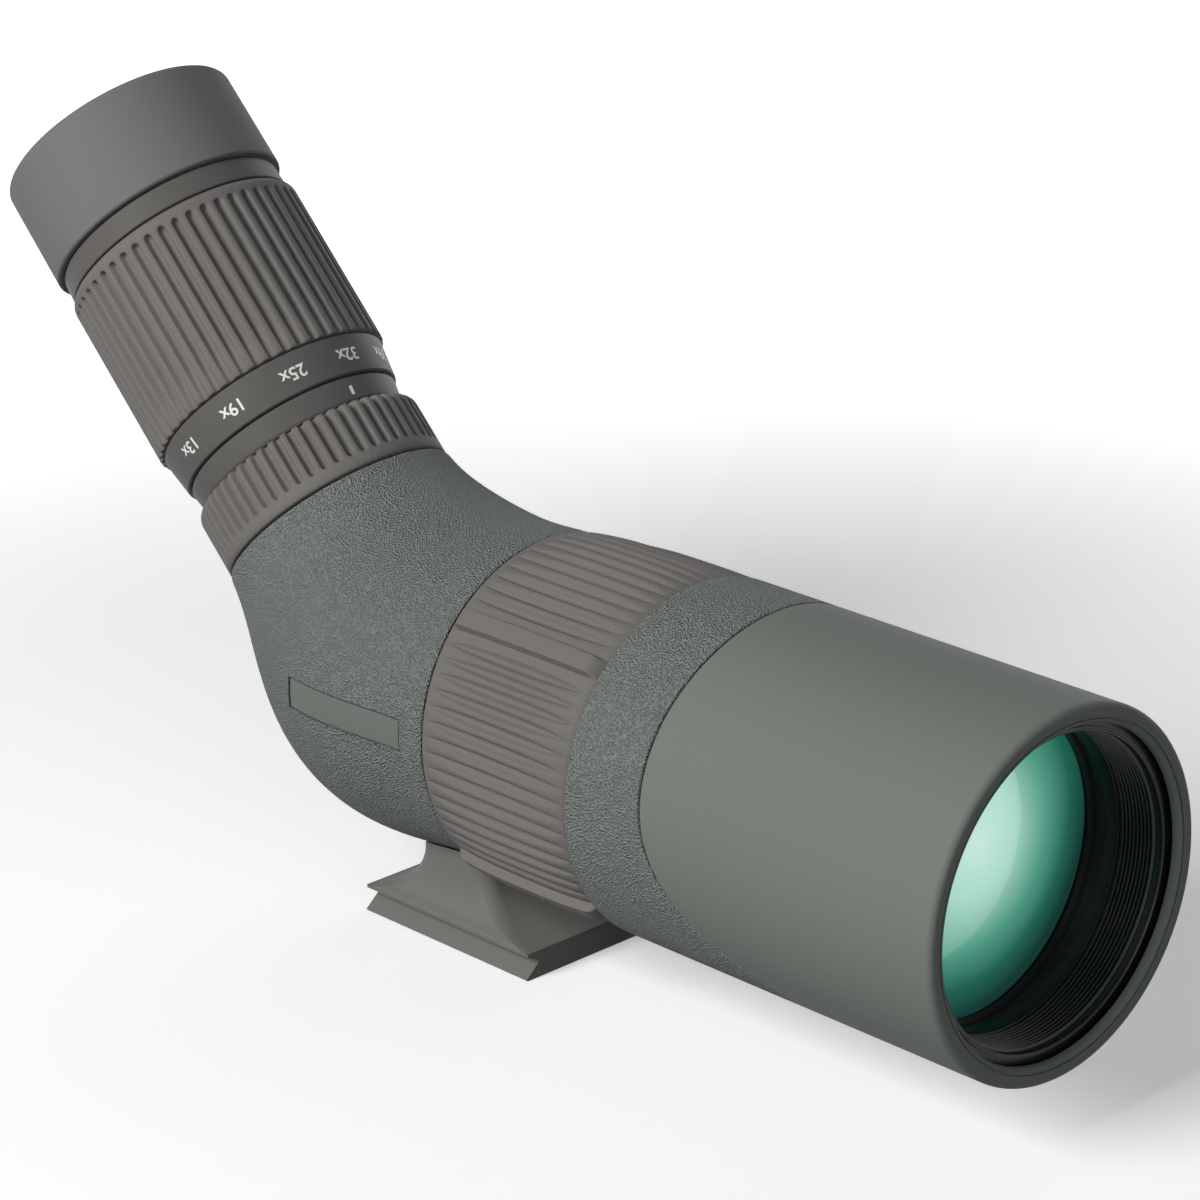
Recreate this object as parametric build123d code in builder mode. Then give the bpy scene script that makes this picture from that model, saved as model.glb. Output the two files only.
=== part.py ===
"""Compact angled spotting scope with a 56 mm objective and a 13-39x zoom eyepiece.

Millimetres, +Z up. The origin is the tripod thread in the middle of the foot's base.
The objective looks along +X, and the eyepiece leans back and up at EYE_DEG.
Stations on the optical axis are X; stations on the eyepiece axis run from the bend.
"""

import os
from math import cos, degrees, radians, sin, sqrt

from build123d import *

os.makedirs("parts", exist_ok=True)

# --- driving dimensions ---------------------------------------------------------------
AXIS_H = 45.0  # optical axis above the foot's base
TUBE_R = 32.7  # sunshade and front armour
LIP_X = 130.0  # front edge of the sunshade
SEAM_X = 63.6  # armour's front edge, where it is shortest
RING_REAR_X = 8.9  # focus ring, rear face
RING_FRONT_X = 46.2  # focus ring, front face
BEND_X = -26.9  # where the eyepiece axis meets the optical axis
EYE_DEG = 45.0  # eyepiece axis above the optical axis

# --- clearances -----------------------------------------------------------------------
RUN = 0.06  # radial running fit of turning and sliding pieces
BOND = 0.03  # radial gap of pieces bonded or pressed together
FACE_GAP = 0.45  # axial gap beside a turning ring
PIN_PLAY = 0.25  # cam groove beside its pin

# --- sunshade -------------------------------------------------------------------------
SHADE_WALL = 1.7
LIP_R = 29.1  # inside the lip
LIP_T = 1.8
SHADE_STROKE = 28.0
GUIDE_W = 4.0
GUIDE_GROOVE = 0.5
CHIN = 29.0  # how far the armour reaches forward underneath

# --- objective tube -------------------------------------------------------------------
TUBE_OUT_R = 29.95
TUBE_IN_R = 26.5
RING_SEAT_R = 28.6  # under the focus ring
SPIGOT_R = 28.0  # screwed into the housing
SPIGOT_REAR_X = 0.5
TUBE_FRONT_X = 127.4
LENS_SHOULDER_X = 98.5

# --- objective ------------------------------------------------------------------------
LENS_R = 28.0
LENS_CLEAR_R = 26.6
LENS_FLAT = 1.5  # flat margin round every lens face
FRONT_LENS = (107.0, 110.8, 2.0, 4.0)  # rear edge, front edge, rear bulge, front bulge
MIDDLE_LENS = (101.8, 106.2, -1.0, -1.6)
REAR_LENS = (98.6, 101.2, 0.8, 0.8)
O_RING_R = 0.55
RIDGE_PITCH = 0.8
RIDGE_COUNT = 8
RIDGE_DEPTH = 0.4

# --- focusing -------------------------------------------------------------------------
FOCUS_SLEEVE_R = 30.4
FOCUS_CELL_X = 29.0
FOCUS_CELL_L = 18.0
FOCUS_LENS_R = 18.5
FOCUS_TRAVEL = 12.0
FOCUS_TURN = 240.0
PIN_R = 1.5
PIN_TIP_R = 29.4
GRIP_CROWN_R = 32.2
GRIP_END_R = 31.4
RIB_R = 33.9
RIB_COUNT = 4
RIB_W = 3.7
RIB_FIRST_DEG = 45.0
GROOVES_PER_GAP = 15
GROOVE_PITCH_DEG = 5.1
GROOVE_R = 0.95
GROOVE_DEPTH = 0.8

# --- prism housing --------------------------------------------------------------------
HOUSING_START_X = 5.0
HOUSING_END_T = 29.4  # on the eyepiece axis
HOUSING_RADII = (30.9, 31.8, 31.2, 27.2, 23.4)
HOUSING_BULGE = 3.65  # how far its middle swells past the bend
HOUSING_LEAN = 0.54  # how much of the swelling lies towards the front
SKIN_T = 1.5
HOUSING_WALL = 2.0
PLATE_X = -12.4
PLATE_Z = 0.5
PLATE_L = 29.3
PLATE_H = 5.4
PLATE_DEPTH = 0.7
PURGE_X = -12.0
PURGE_R = 2.2

# --- foot -----------------------------------------------------------------------------
FOOT_L = 43.5
FOOT_W = 38.0
DOVETAIL_H = 3.9
FOOT_CHAMFER = 0.8
FOOT_LIP_W = 37.2
FOOT_LIP_H = 5.2
NECK_REAR_X = -9.6
NECK_FRONT_X = 6.9
NECK_W = 30.2
NECK_START_H = 13.5
THREAD_R = 3.175  # 1/4 inch
THREAD_L = 8.0
BUSHING_R = 5.0
FOOT_SCREW_X = -5.8
FOOT_SCREW_Y = 9.5
TWIST_HOLE_X = 14.0
TWIST_HOLE_R = 2.25
TWIST_HOLE_L = 3.5

# --- eyepiece, stations along its own axis ----------------------------------------------
MOUNT_TOP_T = 38.0
MOUNT_TUBE_R = 19.0
MOUNT_BORE_R = 16.5
COLLAR_T = (29.85, 42.5)
COLLAR_R = 23.1
COLLAR_TOP_R = 22.4
COLLAR_RIBS = 54
INDEX_T = (42.8, 47.6)
INDEX_R = (21.0, 21.7)
ZOOM_RING_T = (47.9, 55.5)
ZOOM_RING_R = (22.2, 23.2)
GRIP_T = (55.8, 90.9)
GRIP_R = 23.9
GRIP_RIBS = 50
BARREL_R = 17.1
BARREL_BORE_R = 15.0
CAM_T = (52.0, 89.0)
CAM_R = 19.0
NAME_RING_T = (91.2, 95.9)
NAME_RING_R = (23.0, 22.8)
CUP_T = (96.2, 117.2)
CUP_R = 23.9
CUP_WALL = 1.2
CUP_SHELL_T = 1.4
CUP_LIFT = 9.0
CAM_PIN_R = 1.25
ZOOM_TURN = (-38.8, 82.0)  # from the long end to the short end of the scale
ZOOM_FRONT_T = 60.0
ZOOM_FRONT_RATE = 0.08  # millimetres per degree
ZOOM_REAR_T = 79.0
ZOOM_REAR_RATE = -0.05

# --- frames ---------------------------------------------------------------------------
EYE_DIR = Vector(-cos(radians(EYE_DEG)), 0, sin(radians(EYE_DEG)))
BEND = Vector(BEND_X, 0, AXIS_H)
OPTIC = Plane(origin=(0, 0, AXIS_H), x_dir=(1, 0, 0), z_dir=(0, -1, 0))
OPTIC_AXIS = Axis((0, 0, AXIS_H), (1, 0, 0))
EYE = Plane(origin=BEND, x_dir=EYE_DIR, z_dir=(0, -1, 0))
EYE_AXIS = Axis(BEND, EYE_DIR)
FAR = 60.0  # reach of cutting bodies


def optic_plane(x):
    """Plane across the optical axis; angles start at the left side and rise to the top."""
    return Plane(origin=(x, 0, AXIS_H), x_dir=(0, -1, 0), z_dir=(-1, 0, 0))


def eye_plane(t):
    """Plane across the eyepiece axis, looking up it; angles start at the left side."""
    return Plane(origin=BEND + EYE_DIR * t, x_dir=(0, -1, 0), z_dir=EYE_DIR)


def turn(frame, axis, outline, mode=Mode.ADD):
    """Spin a closed outline of (station, radius) points about an axis."""
    with BuildSketch(frame) as profile:
        with BuildLine():
            Polyline(*outline, close=True)
        make_face()
    revolve(profile.sketch, axis=axis, mode=mode)


def turn_optic(outline, mode=Mode.ADD):
    turn(OPTIC, OPTIC_AXIS, outline, mode)


def turn_eye(outline, mode=Mode.ADD):
    turn(EYE, EYE_AXIS, outline, mode)


def band(start, end, inner, outer):
    """Outline of a plain ring."""
    return [(start, inner), (start, outer), (end, outer), (end, inner)]


def bead(frame, axis, station, radius, section_r):
    """A round-section seal ring."""
    with BuildSketch(frame) as profile:
        with Locations((station, radius)):
            Circle(section_r)
    revolve(profile.sketch, axis=axis)


def lens(frame, axis, rim, radius):
    """A lens from its rim's two edges and the bulge of each face; a negative bulge is hollow."""
    rear, front, rear_bulge, front_bulge = rim
    clear = radius - LENS_FLAT

    def halfway(bulge):
        """How far a face's arc stands off its edge at half the radius."""
        curve = (clear**2 + bulge**2) / (2 * bulge)
        rest = sqrt(curve**2 - (clear / 2) ** 2)
        return (rest if bulge > 0 else -rest) - (curve - bulge)

    with BuildSketch(frame) as profile:
        with BuildLine():
            rear_axis = (rear - rear_bulge, 0)
            front_axis = (front + front_bulge, 0)
            ThreePointArc(rear_axis, (rear - halfway(rear_bulge), clear / 2), (rear, clear))
            Polyline((rear, clear), (rear, radius), (front, radius), (front, clear))
            ThreePointArc((front, clear), (front + halfway(front_bulge), clear / 2), front_axis)
            Line(front_axis, rear_axis)
        make_face()
    revolve(profile.sketch, axis=axis)


def radial(plane, angle, radius):
    """Plane at a radius whose normal points away from the axis."""
    out = plane.x_dir * cos(radians(angle)) + plane.y_dir * sin(radians(angle))
    return Plane(origin=plane.origin + out * radius, x_dir=plane.z_dir, z_dir=out)


def cam_groove(plane, first_deg, turn_deg, rise, bottom_r, top_r, width, left_hand=False):
    """A helical groove body that starts at an angle on the plane and climbs along its normal."""
    middle = (bottom_r + top_r) / 2
    spare_deg = degrees(width / 2 / middle) + 0.4
    total = (turn_deg + 2 * spare_deg) / turn_deg
    first = radians(first_deg + spare_deg if left_hand else first_deg - spare_deg)
    start = plane.x_dir * cos(first) + plane.y_dir * sin(first)
    base = plane.origin - plane.z_dir * (rise * spare_deg / turn_deg)
    with BuildPart() as groove:
        with BuildLine() as path:
            Helix(
                pitch=rise * 360 / turn_deg, height=rise * total, radius=middle, lefthand=left_hand
            )
        wire = path.wires()[0]
        with BuildSketch(Plane(origin=wire @ 0, x_dir=(1, 0, 0), z_dir=wire % 0)):
            Rectangle(top_r - bottom_r, width)
        sweep(path=wire, is_frenet=True)
    return Location(Plane(origin=base, x_dir=start, z_dir=plane.z_dir)) * groove.part


def bend_plane(s):
    """Plane across the housing's curved centre line; its normal runs from front to eyepiece."""
    start = Vector(HOUSING_START_X, 0, AXIS_H)
    end = BEND + EYE_DIR * HOUSING_END_T
    point = start * (1 - s) ** 2 + BEND * (2 * s * (1 - s)) + end * s**2
    tangent = ((BEND - start) * (1 - s) + (end - BEND) * s).normalized()
    outward = Vector(-tangent.Z, 0, tangent.X)
    swell = 16 * (s * (1 - s)) ** 2 * (1 + HOUSING_LEAN * (0.5 - s))
    point = point + outward * (HOUSING_BULGE * swell)
    return Plane(origin=point, x_dir=(0, -1, 0), z_dir=tangent)


def housing_form(offset):
    """The bent body between objective and eyepiece, grown or shrunk by an offset."""
    with BuildPart() as form:
        for i, bare_r in enumerate(HOUSING_RADII):
            section_r = bare_r + offset
            diagonal = section_r * sqrt(0.5)
            corners = [(section_r, 0), (0, section_r), (-section_r, 0), (0, -section_r)]
            middles = [
                (diagonal, diagonal),
                (-diagonal, diagonal),
                (-diagonal, -diagonal),
                (diagonal, -diagonal),
            ]
            with BuildSketch(bend_plane(i / (len(HOUSING_RADII) - 1))):
                with BuildLine():
                    for quarter in range(4):
                        ThreePointArc(
                            corners[quarter], middles[quarter], corners[(quarter + 1) % 4]
                        )
                make_face()
        loft()
    return form.part


def behind_seam(shift):
    """All that lies behind the armour's front edge, moved forward by a shift."""
    edge = [
        (2.6, 1.15),
        (0.1, 0.5),
        (1.9, 0.0),
        (0.33 * CHIN, -0.39),
        (0.72 * CHIN, -0.66),
        (0.95 * CHIN, -0.86),
        (CHIN, -1.15),
    ]
    points = [(SEAM_X + shift + dx, dz * TUBE_R) for dx, dz in edge]
    with BuildPart() as body:
        with BuildSketch(Plane(origin=(0, FAR, AXIS_H), x_dir=(1, 0, 0), z_dir=(0, -1, 0))):
            with BuildLine():
                Spline(*points)
                Polyline(points[-1], (-FAR, points[-1][1]), (-FAR, points[0][1]), points[0])
            make_face()
        extrude(amount=2 * FAR)
    return body.part


def finish(part, name):
    part.part.label = name
    export_step(part.part, f"parts/{name}.step")


# === sunshade =========================================================================
seam_rear = behind_seam(0)
seam_front = behind_seam(FACE_GAP)
shade_in_r = TUBE_R - SHADE_WALL
guide_x = SEAM_X + CHIN + 1.0

with BuildPart() as sunshade:
    turn_optic(
        [
            (SEAM_X - 2, shade_in_r),
            (SEAM_X - 2, TUBE_R),
            (LIP_X, TUBE_R),
            (LIP_X, LIP_R),
            (LIP_X - LIP_T, LIP_R),
            (LIP_X - LIP_T, shade_in_r),
        ]
    )
    fillet(sunshade.edges().group_by(Axis.X)[-1].sort_by(SortBy.LENGTH)[-1], 1.3)
    fillet(sunshade.edges().group_by(Axis.X)[-1].sort_by(SortBy.LENGTH)[0], 0.5)
    turn_optic(
        band(guide_x, guide_x + GUIDE_W, shade_in_r - 0.1, shade_in_r + GUIDE_GROOVE),
        Mode.SUBTRACT,
    )
    add(seam_front, mode=Mode.SUBTRACT)
finish(sunshade, "sunshade")

with BuildPart() as sunshade_guide:
    turn_optic(
        band(
            guide_x + BOND,
            guide_x + GUIDE_W - BOND,
            TUBE_OUT_R + RUN,
            shade_in_r + GUIDE_GROOVE - BOND,
        )
    )
finish(sunshade_guide, "sunshade_guide")

stop_x = guide_x + GUIDE_W + SHADE_STROKE + 0.2
STOP_W = 1.0
STOP_GROOVE = 0.8

with BuildPart() as sunshade_stop:
    turn_optic(
        band(stop_x, stop_x + STOP_W, TUBE_OUT_R - STOP_GROOVE + BOND, shade_in_r - 0.2)
    )
    with BuildSketch(optic_plane(stop_x - 1)):
        with Locations((0, -TUBE_OUT_R)):
            Rectangle(5, 6)
    extrude(amount=-STOP_W - 2, mode=Mode.SUBTRACT)
finish(sunshade_stop, "sunshade_stop_ring")

# === objective tube ===================================================================
focus_pins_deg = (90, 270)
slot_w = 2 * (PIN_R + 0.1)
slot_l = FOCUS_TRAVEL + slot_w + 0.8
seal_x = (RING_REAR_X + 3.2, RING_FRONT_X - 3.2)
seal_r = 0.45

with BuildPart() as objective_tube:
    turn_optic(
        [
            (SPIGOT_REAR_X, TUBE_IN_R),
            (SPIGOT_REAR_X, SPIGOT_R),
            (RING_REAR_X - FACE_GAP, SPIGOT_R),
            (RING_REAR_X - FACE_GAP, RING_SEAT_R),
            (RING_FRONT_X + FACE_GAP, RING_SEAT_R),
            (RING_FRONT_X + FACE_GAP, TUBE_OUT_R),
            (TUBE_FRONT_X, TUBE_OUT_R),
            (TUBE_FRONT_X, LENS_R + 0.1),
            (LENS_SHOULDER_X, LENS_R + 0.1),
            (LENS_SHOULDER_X, TUBE_IN_R),
        ]
    )
    turn_optic(
        band(stop_x - BOND, stop_x + STOP_W + BOND, TUBE_OUT_R - STOP_GROOVE, TUBE_OUT_R + 1),
        Mode.SUBTRACT,
    )
    for x in seal_x:
        turn_optic(
            band(x - seal_r - 0.1, x + seal_r + 0.1, RING_SEAT_R - 2 * seal_r, RING_SEAT_R + 1),
            Mode.SUBTRACT,
        )
    for angle in focus_pins_deg:
        with BuildSketch(radial(optic_plane(FOCUS_CELL_X), angle, TUBE_IN_R - 2)):
            SlotOverall(slot_l, slot_w)
        extrude(amount=6, mode=Mode.SUBTRACT)
finish(objective_tube, "objective_tube")

with BuildPart() as objective_front_lens:
    lens(OPTIC, OPTIC_AXIS, FRONT_LENS, LENS_R)
finish(objective_front_lens, "objective_front_lens")

with BuildPart() as objective_middle_lens:
    lens(OPTIC, OPTIC_AXIS, MIDDLE_LENS, LENS_R)
finish(objective_middle_lens, "objective_middle_lens")

with BuildPart() as objective_rear_lens:
    lens(OPTIC, OPTIC_AXIS, REAR_LENS, LENS_R)
finish(objective_rear_lens, "objective_rear_lens")

with BuildPart() as objective_spacers:
    turn_optic(band(MIDDLE_LENS[1], FRONT_LENS[0], LENS_CLEAR_R, LENS_R))
    turn_optic(band(REAR_LENS[1], MIDDLE_LENS[0], LENS_CLEAR_R, LENS_R))
finish(objective_spacers, "objective_spacers")

lens_seal_x = FRONT_LENS[1] + O_RING_R
with BuildPart() as objective_o_ring:
    bead(OPTIC, OPTIC_AXIS, lens_seal_x, LENS_R - O_RING_R, O_RING_R)
finish(objective_o_ring, "objective_o_ring")

retainer_rear = lens_seal_x + O_RING_R
ridge_front = TUBE_FRONT_X - 1.3
ridge_rear = ridge_front - RIDGE_COUNT * RIDGE_PITCH
RETAINER_BORE_R = 27.3
NOTCH_W = 1.6
NOTCH_DEG = (18.0, 198.0)

with BuildPart() as objective_retainer:
    ridges = []
    for i in range(RIDGE_COUNT):
        x = ridge_front - i * RIDGE_PITCH
        ridges += [
            (x, RETAINER_BORE_R),
            (x - RIDGE_PITCH / 2, RETAINER_BORE_R - RIDGE_DEPTH),
        ]
    turn_optic(
        [
            (retainer_rear, LENS_CLEAR_R),
            (retainer_rear, LENS_R + 0.1 - BOND),
            (TUBE_FRONT_X + 0.2, LENS_R + 0.1 - BOND),
            (TUBE_FRONT_X + 0.2, RETAINER_BORE_R),
            *ridges,
            (ridge_rear, RETAINER_BORE_R - RIDGE_DEPTH),
            (ridge_rear - 2.4, LENS_CLEAR_R - 0.3),
            (ridge_rear - 2.9, LENS_CLEAR_R - 0.3),
            (ridge_rear - 2.9, RETAINER_BORE_R),
            (retainer_rear + 1.1, RETAINER_BORE_R),
            (retainer_rear + 1.1, LENS_CLEAR_R),
        ]
    )
    for angle in NOTCH_DEG:
        with BuildSketch(radial(optic_plane(TUBE_FRONT_X + 0.2), 180 - angle, LENS_R - 2)):
            Rectangle(1.8, NOTCH_W)
        extrude(amount=4, mode=Mode.SUBTRACT)
finish(objective_retainer, "objective_retaining_ring")

BAFFLES = ((60.0, 21.5), (80.0, 24.0))  # station and opening radius
with BuildPart() as light_baffles:
    for x, opening in BAFFLES:
        turn_optic(
            [
                (x, opening),
                (x - 0.8, opening + 0.4),
                (x - 0.8, TUBE_IN_R - BOND),
                (x + 2.2, TUBE_IN_R - BOND),
                (x + 2.2, TUBE_IN_R - 0.8),
                (x, TUBE_IN_R - 0.8),
            ]
        )
finish(light_baffles, "light_baffles")

with BuildPart() as tube_armor:
    turn_optic(
        band(RING_FRONT_X + FACE_GAP, SEAM_X + CHIN + 5, TUBE_OUT_R + BOND, TUBE_R)
    )
    fillet(tube_armor.edges().group_by(Axis.X)[0].sort_by(SortBy.LENGTH)[-1], 0.5)
    add(seam_rear, mode=Mode.INTERSECT)
finish(tube_armor, "tube_armor")

# === focusing =========================================================================
groove_top_r = PIN_TIP_R + 0.2
focus_groove_w = 2 * (PIN_R + PIN_PLAY)
focus_groove_x = FOCUS_CELL_X - FOCUS_TRAVEL / 2

focus_grooves = [
    cam_groove(
        Plane(origin=(focus_groove_x, 0, AXIS_H), x_dir=(0, -1, 0), z_dir=(1, 0, 0)),
        angle - FOCUS_TURN / 2,
        FOCUS_TURN,
        FOCUS_TRAVEL,
        RING_SEAT_R - 0.4,
        groove_top_r,
        focus_groove_w,
    )
    for angle in focus_pins_deg
]

with BuildPart() as focus_sleeve:
    turn_optic(band(RING_REAR_X, RING_FRONT_X, RING_SEAT_R + RUN, FOCUS_SLEEVE_R))
    for groove in focus_grooves:
        add(groove, mode=Mode.SUBTRACT)
finish(focus_sleeve, "focus_ring_sleeve")

ring_mid_x = (RING_REAR_X + RING_FRONT_X) / 2
gap_middles = [RIB_FIRST_DEG + (i + 0.5) * 360 / RIB_COUNT for i in range(RIB_COUNT)]
rib_middles = [RIB_FIRST_DEG + i * 360 / RIB_COUNT for i in range(RIB_COUNT)]
grip_inner_r = FOCUS_SLEEVE_R + BOND

with BuildPart() as focus_grip:
    with BuildSketch(optic_plane(RING_FRONT_X)):
        Circle(GRIP_CROWN_R)
        for angle in rib_middles:
            with PolarLocations(RIB_R - 2, 1, start_angle=angle):
                Rectangle(4, RIB_W)
        for angle in gap_middles:
            first = angle - GROOVE_PITCH_DEG * (GROOVES_PER_GAP - 1) / 2
            for i in range(GROOVES_PER_GAP):
                with PolarLocations(
                    GRIP_CROWN_R + GROOVE_R - GROOVE_DEPTH, 1, first + i * GROOVE_PITCH_DEG
                ):
                    Circle(GROOVE_R, mode=Mode.SUBTRACT)
        Circle(grip_inner_r, mode=Mode.SUBTRACT)
    extrude(amount=RING_FRONT_X - RING_REAR_X)
    with BuildSketch(OPTIC):
        with BuildLine():
            ThreePointArc(
                (RING_REAR_X + 0.6, GRIP_END_R), (ring_mid_x, RIB_R), (RING_FRONT_X - 0.6, GRIP_END_R)
            )
            Polyline(
                (RING_FRONT_X - 0.6, GRIP_END_R),
                (RING_FRONT_X, GRIP_END_R - 0.6),
                (RING_FRONT_X, grip_inner_r - 1),
                (RING_REAR_X, grip_inner_r - 1),
                (RING_REAR_X, GRIP_END_R - 0.6),
                (RING_REAR_X + 0.6, GRIP_END_R),
            )
        make_face()
    revolve(axis=OPTIC_AXIS, mode=Mode.INTERSECT)
finish(focus_grip, "focus_ring_grip")

with BuildPart() as focus_seals:
    for x in seal_x:
        bead(OPTIC, OPTIC_AXIS, x, RING_SEAT_R - seal_r, seal_r)
finish(focus_seals, "focus_ring_seals")

cell_rear_x = FOCUS_CELL_X - FOCUS_CELL_L / 2
cell_front_x = FOCUS_CELL_X + FOCUS_CELL_L / 2
focus_lens_rim = (FOCUS_CELL_X - 1.6, FOCUS_CELL_X + 1.6, -0.8, -1.2)
PIN_HOLE_DEEP = 2.6

with BuildPart() as focus_cell:
    turn_optic(
        [
            (cell_rear_x, 17.0),
            (focus_lens_rim[0], 17.0),
            (focus_lens_rim[0], FOCUS_LENS_R + BOND),
            (cell_front_x, FOCUS_LENS_R + BOND),
            (cell_front_x, TUBE_IN_R - RUN),
            (cell_rear_x, TUBE_IN_R - RUN),
        ]
    )
    turn_optic(
        [
            (cell_rear_x - 1, 19.0),
            (cell_rear_x - 1, 23.2),
            (FOCUS_CELL_X - 4.5, 23.2),
            (FOCUS_CELL_X - 4.5, 20.5),
        ],
        Mode.SUBTRACT,
    )
    for angle in focus_pins_deg:
        with BuildSketch(radial(optic_plane(FOCUS_CELL_X), angle, TUBE_IN_R - PIN_HOLE_DEEP)):
            Circle(PIN_R)
        extrude(amount=PIN_HOLE_DEEP + 1, mode=Mode.SUBTRACT)
finish(focus_cell, "focus_cell")

with BuildPart() as focus_lens:
    lens(OPTIC, OPTIC_AXIS, focus_lens_rim, FOCUS_LENS_R)
finish(focus_lens, "focus_lens")

with BuildPart() as focus_retainer:
    turn_optic(band(focus_lens_rim[1], focus_lens_rim[1] + 3.5, 17.2, FOCUS_LENS_R + BOND / 2))
finish(focus_retainer, "focus_lens_retaining_ring")

with BuildPart() as focus_pins:
    for angle in focus_pins_deg:
        with BuildSketch(radial(optic_plane(FOCUS_CELL_X), angle, TUBE_IN_R - PIN_HOLE_DEEP)):
            Circle(PIN_R - BOND)
        extrude(amount=PIN_TIP_R - TUBE_IN_R + PIN_HOLE_DEEP)
finish(focus_pins, "focus_drive_pins")

# === prism housing ====================================================================
skin_form = housing_form(0)
skin_bed = housing_form(-SKIN_T)
metal_form = housing_form(-SKIN_T - BOND)
cavity_form = housing_form(-SKIN_T - BOND - HOUSING_WALL)
lining_form = housing_form(-SKIN_T - 2 * BOND - HOUSING_WALL)
skin_bed_r = HOUSING_RADII[0] - SKIN_T
metal_front_r = skin_bed_r - BOND
metal_end_r = HOUSING_RADII[-1] - SKIN_T - BOND
housing_front_x = RING_REAR_X - FACE_GAP
BOSS_R = 3.2
BOSS_TOP_Z = 24.0
foot_screw_spots = [(FOOT_SCREW_X, -FOOT_SCREW_Y), (FOOT_SCREW_X, FOOT_SCREW_Y)]
SCREW_R = 1.5
mount_screw_deg = [45, 135, 225, 315]
MOUNT_SCREW_R = 0.7
MOUNT_SCREW_INSET = 0.25  # inward of the middle of the wall
mount_screw_ring_r = metal_end_r - HOUSING_WALL / 2 - MOUNT_SCREW_INSET
FLANGE_T = (HOUSING_END_T - 1.8, HOUSING_END_T - 0.2)

with BuildPart() as plate_cut:
    with Locations((PLATE_X, -FAR / 2, AXIS_H + PLATE_Z)):
        Box(PLATE_L + 2 * BOND, FAR, PLATE_H + 2 * BOND)
    add(housing_form(-PLATE_DEPTH), mode=Mode.SUBTRACT)
plate_pocket = plate_cut.part

with BuildPart() as nameplate:
    with Locations((PLATE_X, -FAR / 2, AXIS_H + PLATE_Z)):
        Box(PLATE_L, FAR, PLATE_H)
    add(housing_form(-0.25), mode=Mode.INTERSECT)
    add(housing_form(-PLATE_DEPTH + BOND), mode=Mode.SUBTRACT)
finish(nameplate, "nameplate")

with BuildPart() as prism_housing:
    add(metal_form)
    turn_optic(band(HOUSING_START_X, housing_front_x, SPIGOT_R - 1, metal_front_r))
    add(cavity_form, mode=Mode.SUBTRACT)
    turn_optic(band(SPIGOT_REAR_X - 3, HOUSING_START_X + 0.1, SPIGOT_R - 2.2, SPIGOT_R + 0.9))
    with BuildSketch(Plane.XY.offset(AXIS_H - HOUSING_RADII[1] + 5)):
        with Locations(*foot_screw_spots):
            Circle(BOSS_R)
    extrude(amount=BOSS_TOP_Z - AXIS_H + HOUSING_RADII[1] - 5)
    turn_optic(band(SPIGOT_REAR_X - BOND, housing_front_x + 1, 0, SPIGOT_R + BOND), Mode.SUBTRACT)
    with BuildSketch(Plane.XY):
        with Locations(*foot_screw_spots):
            Circle(SCREW_R + BOND)
    extrude(amount=BOSS_TOP_Z - 2, mode=Mode.SUBTRACT)
    turn_eye(band(FLANGE_T[0], FLANGE_T[1] + 2, 0, FAR / 2), Mode.SUBTRACT)
    with BuildSketch(eye_plane(FLANGE_T[0] - 5)):
        with PolarLocations(mount_screw_ring_r, 4, start_angle=45):
            Circle(MOUNT_SCREW_R + BOND)
    extrude(amount=8, mode=Mode.SUBTRACT)
finish(prism_housing, "prism_housing")

with BuildPart() as body_armor:
    add(skin_form)
    add(skin_bed, mode=Mode.SUBTRACT)
    turn_optic(band(HOUSING_START_X, housing_front_x, skin_bed_r, HOUSING_RADII[0]))
    with BuildSketch(Plane.XY):
        with Locations(*foot_screw_spots):
            Circle(SCREW_R + 0.2)
    extrude(amount=BOSS_TOP_Z, mode=Mode.SUBTRACT)
    add(plate_pocket, mode=Mode.SUBTRACT)
    with BuildSketch(Plane(origin=(0, 0, AXIS_H), x_dir=(1, 0, 0), z_dir=(0, 1, 0))):
        with Locations((PURGE_X, 0)):
            Circle(PURGE_R + 0.1)
    extrude(amount=FAR, mode=Mode.SUBTRACT)
finish(body_armor, "body_armor")

# === prisms ===========================================================================
PRISM_W = 26.0
PRISM_SIDE = [(-5, 29), (-5, 60), (-14.3, 66), (-40, 40.3), (-36, 30)]  # x and height
RAIL_T = 2.0
CARRIER_X = -3.9
CARRIER_T = 1.3
CARRIER_OPENING_R = 14.0
BOSS_ROOM = 0.5
side_view = Plane(origin=(0, 0, 0), x_dir=(1, 0, 0), z_dir=(0, -1, 0))

with BuildPart() as roof_prism:
    with BuildSketch(side_view):
        with BuildLine():
            Polyline(*PRISM_SIDE, close=True)
        make_face()
    extrude(amount=PRISM_W / 2, both=True)
    with BuildSketch(Plane(origin=(-5, 0, 0), x_dir=(0, 1, 0), z_dir=(-1, 0, 0))) as ridge:
        with BuildLine():
            Polyline((0, 28.9), (PRISM_W / 2 + 1, 38.4), (PRISM_W / 2 + 1, 20), (0, 20), close=True)
        make_face()
        mirror(about=Plane.XZ)
    extrude(amount=36, mode=Mode.SUBTRACT)
finish(roof_prism, "roof_prism")

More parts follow.
